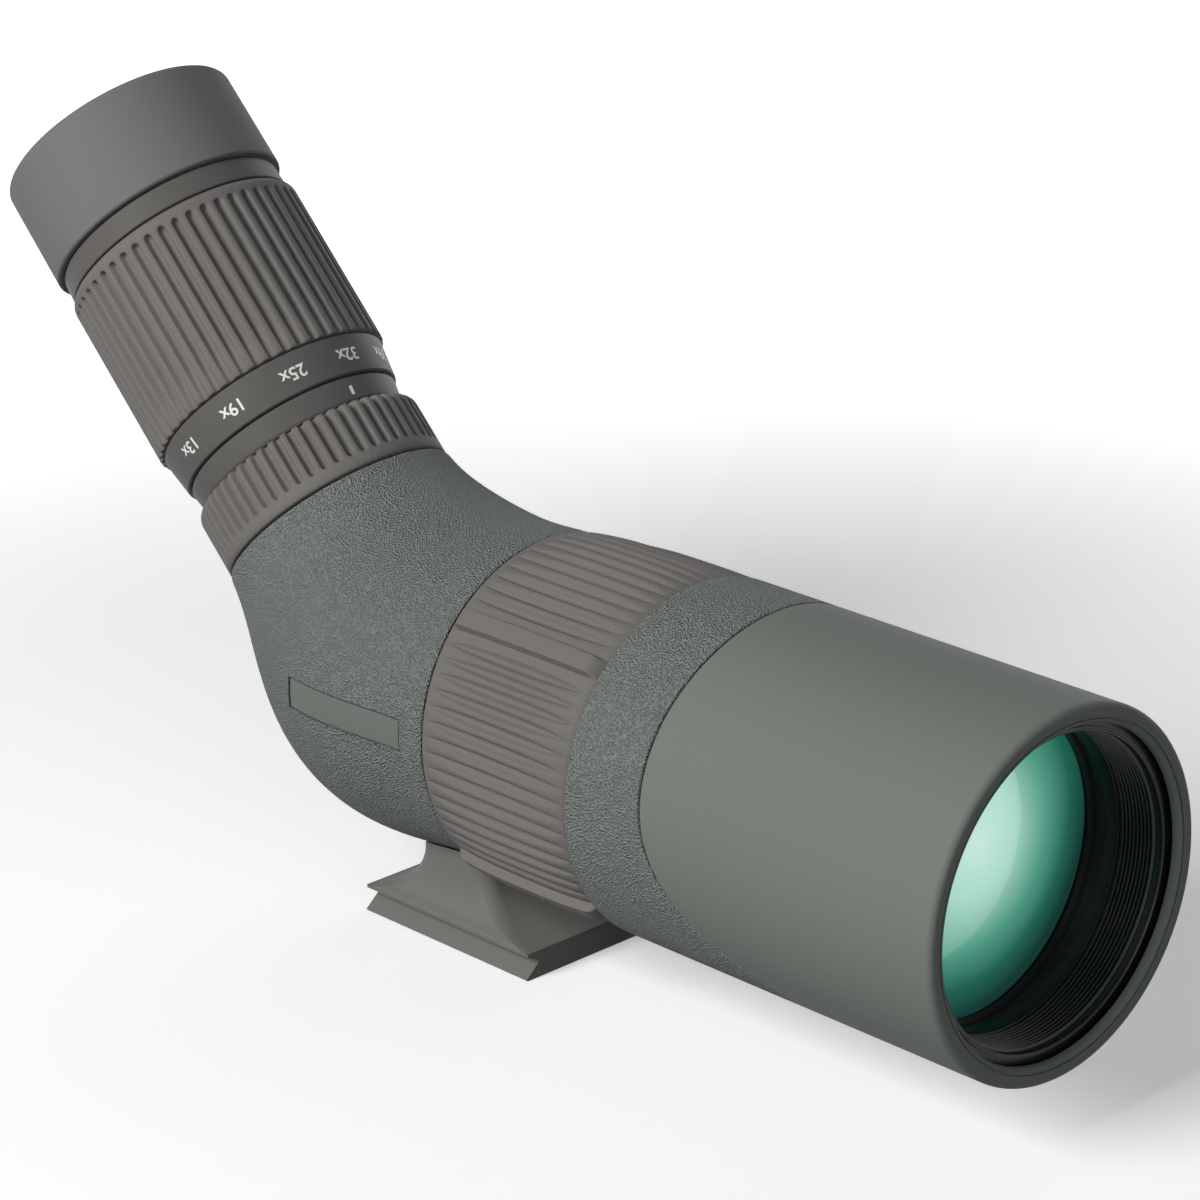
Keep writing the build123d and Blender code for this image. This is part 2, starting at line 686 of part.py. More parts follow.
with BuildPart() as prism_carrier:
    turn_optic(band(CARRIER_X - BOND, CARRIER_X + CARRIER_T, CARRIER_OPENING_R, FAR / 2))
    with BuildSketch(side_view):
        with BuildLine():
            Polyline(
                (CARRIER_X, 33), (CARRIER_X, 59.3), (-14.3, 66), (-36, 44.3), (-36, 36), (-30, 33), close=True
            )
        make_face()
    extrude(amount=PRISM_W / 2 + BOND + RAIL_T, both=True)
    with Locations((CARRIER_X - 20, 0, 45)):
        Box(40, PRISM_W + 2 * BOND, 60, mode=Mode.SUBTRACT)
    add(lining_form, mode=Mode.INTERSECT)
    with BuildSketch(Plane.XY):
        with Locations(*foot_screw_spots):
            Circle(BOSS_R + BOSS_ROOM)
    extrude(amount=BOSS_TOP_Z + BOSS_ROOM, mode=Mode.SUBTRACT)
finish(prism_carrier, "prism_carrier")

with BuildPart() as prism_strap:
    with BuildSketch(Plane(origin=(-9.7, 0, 63.1), x_dir=(0, 1, 0), z_dir=(6, 0, 9.3))):
        Rectangle(PRISM_W + 2 * RAIL_T, 6)
    extrude(amount=0.8)
finish(prism_strap, "prism_strap")

# === tripod foot ======================================================================
FLARE = ((FOOT_LIP_H, FOOT_L - 1.0, FOOT_LIP_W, 0.0, 3.0), (7.2, 33.0, 34.0, -0.6, 4.0))
NECK_MID_X = (NECK_REAR_X + NECK_FRONT_X) / 2
NECK_L = NECK_FRONT_X - NECK_REAR_X
V_HALF = 15.6
V_Z = 3.2
SCREW_HEAD_R = 2.75
SCREW_HEAD_H = 3.0
SCREW_HEAD_SUNK = 3.6
BUSHING_L = 9.0

with BuildPart() as foot:
    half = FOOT_W / 2
    lip_half = FOOT_LIP_W / 2
    with BuildSketch(Plane(origin=(-FOOT_L / 2, 0, 0), x_dir=(0, 1, 0), z_dir=(1, 0, 0))):
        with BuildLine():
            Polyline(
                (-half + 0.3, 0),
                (half - 0.3, 0),
                (half, 0.3),
                (V_HALF, V_Z),
                (lip_half, V_Z + 1.4),
                (lip_half, FOOT_LIP_H),
                (-lip_half, FOOT_LIP_H),
                (-lip_half, V_Z + 1.4),
                (-V_HALF, V_Z),
                (-half, 0.3),
                close=True,
            )
        make_face()
    extrude(amount=FOOT_L)
    sections = [
        (FOOT_LIP_H, FOOT_L - 0.8, FOOT_LIP_W, 0.0, 1.0),
        (FOOT_LIP_H + 1.0, 34.0, 34.6, -1.2, 2.0),
        (FOOT_LIP_H + 3.2, 25.0, 31.6, -2.4, 3.0),
        (FOOT_LIP_H + 6.4, 19.5, 30.4, -2.6, 3.5),
        (FOOT_LIP_H + 12.0, 17.4, 30.2, -2.6, 3.5),
        (FOOT_LIP_H + 18.0, 17.0, 30.2, -2.6, 3.5),
    ]
    for height, length, width, middle, corner in sections:
        with BuildSketch(Plane.XY.offset(height)):
            with Locations((middle, 0)):
                RectangleRounded(length, width, corner)
    loft()
    add(housing_form(BOND), mode=Mode.SUBTRACT)
    turn_optic(band(HOUSING_START_X, FAR, 0, HOUSING_RADII[0] + BOND), Mode.SUBTRACT)
    with BuildSketch(Plane.XY):
        Circle(BUSHING_R + BOND)
    extrude(amount=BUSHING_L + 0.05, mode=Mode.SUBTRACT)
    with BuildSketch(Plane.XY):
        with Locations((TWIST_HOLE_X, 0)):
            Circle(TWIST_HOLE_R)
    extrude(amount=TWIST_HOLE_L, mode=Mode.SUBTRACT)
    with BuildSketch(Plane.XY):
        with Locations(*foot_screw_spots):
            Circle(SCREW_HEAD_R + 0.15)
    extrude(amount=SCREW_HEAD_SUNK, mode=Mode.SUBTRACT)
    with BuildSketch(Plane.XY):
        with Locations(*foot_screw_spots):
            Circle(SCREW_R + BOND)
    extrude(amount=BOSS_TOP_Z, mode=Mode.SUBTRACT)
finish(foot, "tripod_foot")

with BuildPart() as foot_screws:
    with BuildSketch(Plane.XY.offset(SCREW_HEAD_SUNK - SCREW_HEAD_H)):
        with Locations(*foot_screw_spots):
            Circle(SCREW_HEAD_R)
    extrude(amount=SCREW_HEAD_H)
    with BuildSketch(Plane.XY.offset(SCREW_HEAD_SUNK - 0.1)):
        with Locations(*foot_screw_spots):
            Circle(SCREW_R)
    extrude(amount=BOSS_TOP_Z - 2.5 - SCREW_HEAD_SUNK)
    with BuildSketch(Plane.XY.offset(SCREW_HEAD_SUNK - SCREW_HEAD_H)):
        with Locations(*foot_screw_spots):
            RegularPolygon(1.45, 6)
    extrude(amount=1.8, mode=Mode.SUBTRACT)
finish(foot_screws, "foot_screws")

with BuildPart() as tripod_bushing:
    with BuildSketch(Plane.XY):
        Circle(BUSHING_R)
    extrude(amount=BUSHING_L)
    with BuildSketch(Plane.XY):
        Circle(THREAD_R)
    extrude(amount=THREAD_L, mode=Mode.SUBTRACT)
finish(tripod_bushing, "tripod_bushing")

# === eyepiece mount and locking collar ================================================
SPIGOT_L = 3.0
LIP_T_START = MOUNT_TOP_T + 0.4

with BuildPart() as eyepiece_mount:
    turn_eye(
        [
            (FLANGE_T[0] - SPIGOT_L, MOUNT_BORE_R),
            (FLANGE_T[0] - SPIGOT_L, metal_end_r - HOUSING_WALL - BOND),
            (FLANGE_T[0], metal_end_r - HOUSING_WALL - BOND),
            (FLANGE_T[0], metal_end_r),
            (FLANGE_T[1], metal_end_r),
            (FLANGE_T[1], MOUNT_TUBE_R),
            (MOUNT_TOP_T, MOUNT_TUBE_R),
            (MOUNT_TOP_T, MOUNT_BORE_R),
        ]
    )
    with BuildSketch(eye_plane(FLANGE_T[0] - 1)):
        with PolarLocations(mount_screw_ring_r, 4, start_angle=45):
            Circle(MOUNT_SCREW_R + BOND)
    extrude(amount=4, mode=Mode.SUBTRACT)
    with BuildSketch(eye_plane(FLANGE_T[1] - 0.9)):
        with PolarLocations(mount_screw_ring_r, 4, start_angle=45):
            Circle(1.3)
    extrude(amount=2, mode=Mode.SUBTRACT)
finish(eyepiece_mount, "eyepiece_mount")

with BuildPart() as mount_screws:
    with BuildSketch(eye_plane(FLANGE_T[1] - 0.9)):
        with PolarLocations(mount_screw_ring_r, 4, start_angle=45):
            Circle(1.2)
    extrude(amount=0.8)
    with BuildSketch(eye_plane(FLANGE_T[1] - 0.85)):
        with PolarLocations(mount_screw_ring_r, 4, start_angle=45):
            Circle(MOUNT_SCREW_R)
    extrude(amount=-4.8)
finish(mount_screws, "eyepiece_mount_screws")

COLLAR_GROOVE_R = 0.6
with BuildPart() as locking_collar:
    with BuildSketch(eye_plane(COLLAR_T[0])):
        Circle(COLLAR_R)
        with PolarLocations(COLLAR_R + 0.1, COLLAR_RIBS):
            Circle(COLLAR_GROOVE_R, mode=Mode.SUBTRACT)
    extrude(amount=COLLAR_T[1] - COLLAR_T[0])
    turn_eye(
        [
            (COLLAR_T[0], MOUNT_TUBE_R + RUN),
            (COLLAR_T[0], COLLAR_R),
            (COLLAR_T[1] - 0.9, COLLAR_R),
            (COLLAR_T[1], COLLAR_TOP_R),
            (COLLAR_T[1], BARREL_R + 0.3),
            (LIP_T_START, BARREL_R + 0.3),
            (LIP_T_START, MOUNT_TUBE_R + RUN),
        ],
        Mode.INTERSECT,
    )
finish(locking_collar, "locking_collar")

# === eyepiece barrel ==================================================================
ring_seat_t = INDEX_T[0]
barrel_low_t = 31.0
SLOT_W = 2 * (CAM_PIN_R + 0.1)
CAM_PIN_DEG = (0, 180)
REAR_PIN_DEG = (90, 270)
CUP_PIN_DEG = (45, 225)
CUP_PIN_T = CUP_T[0] + 3.4
CUP_TURN = 150.0
CUP_GROOVE_R = BARREL_R - 0.9
cell_r = BARREL_BORE_R - RUN
zoom_slots = []
for station, rate, spots in (
    (ZOOM_FRONT_T, ZOOM_FRONT_RATE, CAM_PIN_DEG),
    (ZOOM_REAR_T, ZOOM_REAR_RATE, REAR_PIN_DEG),
):
    ends = [station + rate * angle for angle in ZOOM_TURN]
    for angle in spots:
        zoom_slots.append(((ends[0] + ends[1]) / 2, abs(ends[1] - ends[0]) + SLOT_W + 0.8, angle))

cup_grooves = [
    cam_groove(
        eye_plane(CUP_PIN_T), angle, CUP_TURN, CUP_LIFT, CUP_GROOVE_R, BARREL_R + 1, 2 * CAM_PIN_R + 0.5
    )
    for angle in CUP_PIN_DEG
]
barrel_top_t = CUP_PIN_T + CUP_LIFT + 2.4

with BuildPart() as eyepiece_barrel:
    turn_eye(
        [
            (barrel_low_t, BARREL_BORE_R),
            (barrel_low_t, MOUNT_BORE_R - BOND),
            (ring_seat_t, MOUNT_BORE_R - BOND),
            (ring_seat_t, BARREL_R),
            (barrel_top_t, BARREL_R),
            (barrel_top_t, BARREL_BORE_R),
        ]
    )
    for station, length, angle in zoom_slots:
        with BuildSketch(radial(eye_plane(station), angle, BARREL_BORE_R - 2)):
            SlotOverall(length, SLOT_W)
        extrude(amount=6, mode=Mode.SUBTRACT)
    for groove in cup_grooves:
        add(groove, mode=Mode.SUBTRACT)
finish(eyepiece_barrel, "eyepiece_barrel")

with BuildPart() as index_ring:
    turn_eye(
        [
            (INDEX_T[0], BARREL_R + BOND),
            (INDEX_T[0], INDEX_R[0] - 0.4),
            (INDEX_T[0] + 0.4, INDEX_R[0]),
            (INDEX_T[1], INDEX_R[1]),
            (INDEX_T[1], BARREL_R + BOND),
        ]
    )
finish(index_ring, "index_ring")

# === zoom =============================================================================
cam_top_r = BARREL_R + RUN + 1.6
cam_low_r = BARREL_R - 0.3
cam_groove_w = 2 * (CAM_PIN_R + PIN_PLAY)
zoom_span = ZOOM_TURN[1] - ZOOM_TURN[0]
zoom_grooves = [
    cam_groove(
        eye_plane(ZOOM_FRONT_T + ZOOM_FRONT_RATE * ZOOM_TURN[0]),
        angle - ZOOM_TURN[0],
        zoom_span,
        ZOOM_FRONT_RATE * zoom_span,
        cam_low_r,
        cam_top_r,
        cam_groove_w,
        left_hand=True,
    )
    for angle in CAM_PIN_DEG
]
zoom_grooves += [
    cam_groove(
        eye_plane(ZOOM_REAR_T + ZOOM_REAR_RATE * ZOOM_TURN[1]),
        angle - ZOOM_TURN[1],
        zoom_span,
        -ZOOM_REAR_RATE * zoom_span,
        cam_low_r,
        cam_top_r,
        cam_groove_w,
    )
    for angle in REAR_PIN_DEG
]

with BuildPart() as zoom_sleeve:
    turn_eye(band(ZOOM_RING_T[0], GRIP_T[1], BARREL_R + RUN, CAM_R + 0.9))
    for groove in zoom_grooves:
        add(groove, mode=Mode.SUBTRACT)
finish(zoom_sleeve, "zoom_sleeve")

with BuildPart() as zoom_number_ring:
    turn_eye(
        [
            (ZOOM_RING_T[0], CAM_R + 0.93),
            (ZOOM_RING_T[0], ZOOM_RING_R[0]),
            (ZOOM_RING_T[1], ZOOM_RING_R[1]),
            (ZOOM_RING_T[1], CAM_R + 0.93),
        ]
    )
finish(zoom_number_ring, "zoom_number_ring")

GRIP_GROOVE_R = 0.75
with BuildPart() as zoom_grip:
    with BuildSketch(eye_plane(GRIP_T[0])):
        Circle(GRIP_R)
        with PolarLocations(GRIP_R + 0.25, GRIP_RIBS):
            Circle(GRIP_GROOVE_R, mode=Mode.SUBTRACT)
        Circle(CAM_R + 0.93, mode=Mode.SUBTRACT)
    extrude(amount=GRIP_T[1] - GRIP_T[0])
    turn_eye(
        [
            (GRIP_T[0], 0),
            (GRIP_T[0], GRIP_R),
            (GRIP_T[1] - 1.2, GRIP_R),
            (GRIP_T[1] - 0.3, GRIP_R - 0.5),
            (GRIP_T[1], GRIP_R - 1.2),
            (GRIP_T[1], 0),
        ],
        Mode.INTERSECT,
    )
finish(zoom_grip, "zoom_grip")

with BuildPart() as name_ring:
    turn_eye(
        [
            (NAME_RING_T[0], BARREL_R + BOND),
            (NAME_RING_T[0], NAME_RING_R[0]),
            (NAME_RING_T[1] - 0.2, NAME_RING_R[1]),
            (NAME_RING_T[1], NAME_RING_R[1] - 0.2),
            (NAME_RING_T[1], BARREL_R + BOND),
        ]
    )
finish(name_ring, "name_ring")

# === eyecup ===========================================================================
cam_ring_r = BARREL_R + RUN + 1.3
sleeve_r = cam_ring_r + RUN
cup_shell_r = sleeve_r + 2.0

with BuildPart() as eyecup_cam_ring:
    turn_eye(band(CUP_T[0], barrel_top_t - 0.1, BARREL_R + RUN, cam_ring_r))
    for angle in CUP_PIN_DEG:
        with BuildSketch(radial(eye_plane(CUP_PIN_T + CUP_LIFT / 2), angle, BARREL_R - 1)):
            SlotOverall(CUP_LIFT + SLOT_W + 0.8, SLOT_W)
        extrude(amount=5, mode=Mode.SUBTRACT)
finish(eyecup_cam_ring, "eyecup_cam_ring")

with BuildPart() as eyecup_sleeve:
    turn_eye(
        [
            (CUP_T[0] + 0.6, sleeve_r),
            (CUP_T[0] + 0.6, cup_shell_r),
            (CUP_T[1] - 2.5, cup_shell_r),
            (CUP_T[1] - 2.5, sleeve_r),
        ]
    )
    for angle in CUP_PIN_DEG:
        with BuildSketch(radial(eye_plane(CUP_PIN_T), angle, sleeve_r - 1)):
            Circle(CAM_PIN_R + BOND)
        extrude(amount=5, mode=Mode.SUBTRACT)
finish(eyecup_sleeve, "eyecup_sleeve")

with BuildPart() as eyecup_pins:
    for angle in CUP_PIN_DEG:
        with BuildSketch(radial(eye_plane(CUP_PIN_T), angle, CUP_GROOVE_R + 0.2)):
            Circle(CAM_PIN_R)
        extrude(amount=cup_shell_r - CUP_GROOVE_R - 0.4)
finish(eyecup_pins, "eyecup_pins")

with BuildPart() as eyecup:
    turn_eye(
        [
            (CUP_T[0], cup_shell_r + BOND),
            (CUP_T[0], CUP_R - 0.3),
            (CUP_T[0] + 0.3, CUP_R),
            (CUP_T[1] - 1.4, CUP_R),
            (CUP_T[1] - 0.4, CUP_R - 0.4),
            (CUP_T[1], CUP_R - 1.4),
            (CUP_T[1], CUP_R - 3.0),
            (CUP_T[1] - 0.8, sleeve_r),
            (CUP_T[1] - 2.5 + BOND, sleeve_r - 0.6),
            (CUP_T[1] - 2.5 + BOND, cup_shell_r + BOND),
        ]
    )
finish(eyecup, "eyecup")

# === eyepiece optics ==================================================================
CELL_LENS_R = 12.5
CELL_HALF = {"front": 4.0, "rear": 3.4}
PIN_ROOT_R = CELL_LENS_R + 0.7


def zoom_cell(station, half, pins):
    """A lens carrier that slides in the barrel, with holes for its two cam pins."""
    with BuildPart() as cell:
        turn_eye(
            [
                (station - half, CELL_LENS_R - 1),
                (station - half, cell_r),
                (station + half, cell_r),
                (station + half, CELL_LENS_R + BOND),
                (station - half + 1.2, CELL_LENS_R + BOND),
                (station - half + 1.2, CELL_LENS_R - 1),
            ]
        )
        for angle in pins:
            with BuildSketch(radial(eye_plane(station), angle, PIN_ROOT_R)):
                Circle(CAM_PIN_R)
            extrude(amount=4, mode=Mode.SUBTRACT)
    return cell


def zoom_pins(station, pins):
    with BuildPart() as studs:
        for angle in pins:
            with BuildSketch(radial(eye_plane(station), angle, PIN_ROOT_R)):
                Circle(CAM_PIN_R - BOND)
            extrude(amount=cam_top_r - 0.2 - PIN_ROOT_R)
    return studs


front_seat_t = ZOOM_FRONT_T - CELL_HALF["front"] + 1.2
rear_seat_t = ZOOM_REAR_T - CELL_HALF["rear"] + 1.2

finish(zoom_cell(ZOOM_FRONT_T, CELL_HALF["front"], CAM_PIN_DEG), "zoom_front_cell")
finish(zoom_pins(ZOOM_FRONT_T, CAM_PIN_DEG), "zoom_front_pins")
finish(zoom_cell(ZOOM_REAR_T, CELL_HALF["rear"], REAR_PIN_DEG), "zoom_rear_cell")
finish(zoom_pins(ZOOM_REAR_T, REAR_PIN_DEG), "zoom_rear_pins")

with BuildPart() as zoom_front_lens:
    lens(EYE, EYE_AXIS, (front_seat_t, front_seat_t + 4.2, 0.9, 1.6), CELL_LENS_R)
finish(zoom_front_lens, "zoom_front_lens")

with BuildPart() as zoom_rear_lens:
    lens(EYE, EYE_AXIS, (rear_seat_t, rear_seat_t + 4.0, -0.6, 1.2), CELL_LENS_R)
finish(zoom_rear_lens, "zoom_rear_lens")

field_t = (barrel_low_t + 1.5, barrel_low_t + 8.5)
FIELD_LENS_R = 13.0
with BuildPart() as field_cell:
    turn_eye(
        [
            (field_t[0], FIELD_LENS_R - 1),
            (field_t[0], BARREL_BORE_R - BOND),
            (field_t[1], BARREL_BORE_R - BOND),
            (field_t[1], FIELD_LENS_R + BOND),
            (field_t[0] + 1.5, FIELD_LENS_R + BOND),
            (field_t[0] + 1.5, FIELD_LENS_R - 1),
        ]
    )
finish(field_cell, "field_lens_cell")

with BuildPart() as field_lens:
    lens(EYE, EYE_AXIS, (field_t[0] + 1.5, field_t[0] + 4.5, -0.7, -0.5), FIELD_LENS_R)
finish(field_lens, "field_lens")

EYE_LENS_R = 13.2
EYE_LENS = (97.0, 102.0, 1.8, 1.0)
eye_ring_t = EYE_LENS[1] + 2.2
TOP_RING_R = 18.1
TOP_RING_T = 1.4
top_ring_t = barrel_top_t + BOND

with BuildPart() as eye_lens_cell:
    turn_eye(
        [
            (EYE_LENS[0] - 4, EYE_LENS_R - 0.8),
            (EYE_LENS[0] - 4, BARREL_BORE_R - BOND),
            (eye_ring_t + 0.8, BARREL_BORE_R - BOND),
            (eye_ring_t + 0.8, EYE_LENS_R + BOND),
            (EYE_LENS[0], EYE_LENS_R + BOND),
            (EYE_LENS[0], EYE_LENS_R - 0.8),
        ]
    )
finish(eye_lens_cell, "eye_lens_cell")

with BuildPart() as eye_lens:
    lens(EYE, EYE_AXIS, EYE_LENS, EYE_LENS_R)
finish(eye_lens, "eye_lens")

with BuildPart() as eye_retainer:
    turn_eye(
        [
            (EYE_LENS[1], EYE_LENS_R - 1.0),
            (EYE_LENS[1], EYE_LENS_R),
            (eye_ring_t, EYE_LENS_R),
            (eye_ring_t, EYE_LENS_R - 0.3),
        ]
    )
finish(eye_retainer, "eye_lens_retaining_ring")

with BuildPart() as eyepiece_top_ring:
    turn_eye(
        [
            (eye_ring_t + 0.9, EYE_LENS_R + 0.3),
            (eye_ring_t + 0.9, BARREL_BORE_R - BOND),
            (top_ring_t, BARREL_BORE_R - BOND),
            (top_ring_t, TOP_RING_R),
            (top_ring_t + TOP_RING_T - 0.3, TOP_RING_R),
            (top_ring_t + TOP_RING_T, TOP_RING_R - 0.3),
            (top_ring_t + TOP_RING_T, BARREL_BORE_R + 0.4),
            (top_ring_t + TOP_RING_T - 0.4, BARREL_BORE_R),
        ]
    )
finish(eyepiece_top_ring, "eyepiece_top_ring")

with BuildPart() as purge_screw:
    with BuildSketch(Plane(origin=(0, 0, AXIS_H), x_dir=(1, 0, 0), z_dir=(0, 1, 0))):
        with Locations((PURGE_X, 0)):
            Circle(PURGE_R)
    extrude(amount=FAR)
    add(housing_form(-0.3), mode=Mode.INTERSECT)
    add(skin_bed, mode=Mode.SUBTRACT)
    with BuildSketch(Plane(origin=(0, 31.5, AXIS_H), x_dir=(1, 0, 0), z_dir=(0, 1, 0))):
        with Locations((PURGE_X, 0)):
            Rectangle(3.2, 0.6)
    extrude(amount=4, mode=Mode.SUBTRACT)
finish(purge_screw, "purge_screw")
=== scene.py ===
from math import atan2, cos, degrees, hypot, pi, radians, sin, sqrt

import bmesh
import bpy
from mathutils import Matrix, Vector


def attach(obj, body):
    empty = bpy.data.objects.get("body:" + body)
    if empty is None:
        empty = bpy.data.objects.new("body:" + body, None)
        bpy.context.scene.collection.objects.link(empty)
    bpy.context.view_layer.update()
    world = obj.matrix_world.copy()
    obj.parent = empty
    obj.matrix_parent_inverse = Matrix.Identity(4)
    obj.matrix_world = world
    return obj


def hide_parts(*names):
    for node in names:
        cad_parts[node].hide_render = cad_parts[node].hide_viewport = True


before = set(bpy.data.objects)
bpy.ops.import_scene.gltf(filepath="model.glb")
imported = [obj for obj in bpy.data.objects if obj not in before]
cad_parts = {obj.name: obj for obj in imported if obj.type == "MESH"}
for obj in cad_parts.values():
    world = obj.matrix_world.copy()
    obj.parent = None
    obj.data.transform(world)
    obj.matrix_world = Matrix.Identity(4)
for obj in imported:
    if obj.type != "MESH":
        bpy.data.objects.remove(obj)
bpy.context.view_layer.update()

scene = bpy.context.scene
MM = 0.001

# --- sizes of the object, in millimetres -------------------------------------------------
AXIS_H = 45.0
BEND_X = -26.9
TUBE_R = 32.7
LIP_X = 130.0
SEAM_X = 63.6
RING = (8.9, 46.2)
TUBE_END_X = 127.4
PART_GAP = 0.45  # open line between neighbouring covers

EYE_DIR = Vector((-sqrt(0.5), 0, sqrt(0.5)))
BEND = Vector((BEND_X, 0, AXIS_H))


# --- places ------------------------------------------------------------------------------
def on_optic(station, angle, radius):
    """A point round the optical axis; angle 0 faces the left side, 90 the top."""
    a = radians(angle)
    return Vector((station, -radius * cos(a), AXIS_H + radius * sin(a)))


def on_eye(station, angle, radius):
    """A point round the eyepiece axis; angle 0 faces the left side, 90 the objective's side."""
    a = radians(angle)
    across = Vector((EYE_DIR.z, 0, -EYE_DIR.x))
    point = BEND + EYE_DIR * station
    return point + Vector((0, -1, 0)) * (radius * cos(a)) + across * (radius * sin(a))


def smooth(x, low, high):
    """0 below low, 1 above high, and an even slope between."""
    t = min(1.0, max(0.0, (x - low) / (high - low)))
    return t * t * (3 - 2 * t)


# --- making pieces -----------------------------------------------------------------------
def spun(outline, steps, closed=True):
    """A bmesh of an outline of (station, radius) points turned round the x axis."""
    bm = bmesh.new()
    verts = [bm.verts.new((x, r, 0)) for x, r in outline]
    count = len(verts) if closed else len(verts) - 1
    edges = [bm.edges.new((verts[i], verts[(i + 1) % len(verts)])) for i in range(count)]
    bmesh.ops.spin(
        bm, geom=verts + edges, cent=(0, 0, 0), axis=(1, 0, 0), angle=2 * pi, steps=steps,
        use_merge=True, use_duplicate=False,
    )
    bmesh.ops.remove_doubles(bm, verts=bm.verts, dist=1e-4)
    return bm


def placed(bm, place):
    """Moves every point of a spun bmesh to its place on the object, in metres."""
    for v in bm.verts:
        angle = degrees(atan2(v.co.z, v.co.y)) % 360
        v.co = place(v.co.x, angle, hypot(v.co.y, v.co.z)) * MM


def face_outward(bm):
    """Points every face away from the solid."""
    bmesh.ops.recalc_face_normals(bm, faces=bm.faces)
    if bm.calc_volume(signed=True) < 0:
        bmesh.ops.reverse_faces(bm, faces=bm.faces)


def made(name, bm, material, body, nodes=(), sharp=35):
    """Turns a bmesh into a finished piece that rides on a body and stands for CAD nodes."""
    face_outward(bm)
    mesh = bpy.data.meshes.new(name)
    bm.to_mesh(mesh)
    bm.free()
    mesh.shade_smooth()
    mesh.set_sharp_from_angle(angle=radians(sharp))
    piece = bpy.data.objects.new(name, mesh)
    scene.collection.objects.link(piece)
    piece.data.materials.append(material)
    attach(piece, body)
    if nodes:
        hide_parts(*nodes)


def rounded(outline, turns):
    """An outline whose (x, r, fillet) corners are rounded; a corner with no fillet stays sharp."""
    points = []
    n = len(outline)
    for i, corner in enumerate(outline):
        here = Vector(corner[:2])
        if len(corner) < 3 or not corner[2]:
            points.append(tuple(here))
            continue
        before = (Vector(outline[i - 1][:2]) - here).normalized()
        after = (Vector(outline[(i + 1) % n][:2]) - here).normalized()
        half = before.angle(after) / 2
        reach = corner[2] / max(1e-6, abs(sin(half) / cos(half)))
        centre = here + (before + after).normalized() * (corner[2] / sin(half))
        first = here + before * reach - centre
        last = here + after * reach - centre
        for k in range(turns + 1):
            d = first.lerp(last, k / turns).normalized() * corner[2]
            points.append(tuple(centre + d))
    return points


# --- shader nodes ------------------------------------------------------------------------
class Value:
    """A socket that carries a number, so that sums of sockets read as sums."""

    def __init__(self, maker, socket):
        self.maker, self.socket = maker, socket

    def _math(self, operation, *values):
        node = self.maker.node("ShaderNodeMath", {"operation": operation}, *values)
        return Value(self.maker, node.outputs[0])

    def __add__(self, other):
        return self._math("ADD", self, other)

    def __sub__(self, other):
        return self._math("SUBTRACT", self, other)

    def __rsub__(self, other):
        return self._math("SUBTRACT", other, self)

    def __mul__(self, other):
        return self._math("MULTIPLY", self, other)

    def __pow__(self, other):
        return self._math("POWER", self, other)

    def clipped(self):
        """The same value, but never above 1."""
        return self._math("MINIMUM", self, 1.0)

    __radd__ = __add__
    __rmul__ = __mul__


class Finish:
    """A material under construction: its nodes, its patterns and its shader."""

    def __init__(self, name):
        self.material = bpy.data.materials.new(name)
        self.material.use_nodes = True
        self.tree = self.material.node_tree
        self.shader = self.tree.nodes["Principled BSDF"]
        self.place = self.node("ShaderNodeTexCoord").outputs["Object"]

    def node(self, kind, settings=None, *values, **named):
        made_node = self.tree.nodes.new(kind)
        for key, value in (settings or {}).items():
            if key == "stops":
                ramp = made_node.color_ramp
                while len(ramp.elements) < len(value):
                    ramp.elements.new(1.0)
                for stop, (position, colour) in zip(ramp.elements, value):
                    stop.position, stop.color = position, (*colour, 1)
            else:
                setattr(made_node, key, value)
        for index, value in enumerate(values):
            self.feed(made_node.inputs[index], value)
        for key, value in named.items():
            self.feed(made_node.inputs[key], value)
        return made_node

    def feed(self, socket, value):
        if isinstance(value, Value):
            value = value.socket
        if isinstance(value, bpy.types.NodeSocket):
            self.tree.links.new(value, socket)
        elif value is not None:
            socket.default_value = value

    def noise(self, scale, detail=2.0, roughness=0.5):
        node = self.node(
            "ShaderNodeTexNoise", None,
            Vector=self.place, Scale=scale, Detail=detail, Roughness=roughness,
        )
        return Value(self, node.outputs[0])

    def cells(self, scale, smoothness):
        node = self.node(
            "ShaderNodeTexVoronoi", {"feature": "SMOOTH_F1"},
            Vector=self.place, Scale=scale, Smoothness=smoothness,
        )
        return Value(self, node.outputs["Distance"])

    def between(self, value, low, high, out_low=0.0, out_high=1.0):
        node = self.node(
            "ShaderNodeMapRange", {"interpolation_type": "SMOOTHSTEP"},
            value, low, high, out_low, out_high,
        )
        return Value(self, node.outputs[0])

    def blend(self, factor, first, second):
        node = self.node("ShaderNodeMix", {"data_type": "RGBA"})
        self.feed(node.inputs[0], factor)
        self.feed(node.inputs[6], first)
        self.feed(node.inputs[7], second)
        return node.outputs[2]

    def bump(self, height, distance, strength=1.0):
        node = self.node(
            "ShaderNodeBump", None, Strength=strength, Distance=distance, Height=height
        )
        return node.outputs[0]

    def dull(self, level):
        """Sets how strongly the bare surface shines."""
        self.shader.inputs["Specular IOR Level"].default_value = level

    def done(self, **sockets):
        for key, value in sockets.items():
            self.feed(self.shader.inputs[key.replace("_", " ")], value)
        return self.material


def rgb(r, g, b):
    return (r, g, b, 1.0)


MATTE = 0.06  # specular level of rubber and paint


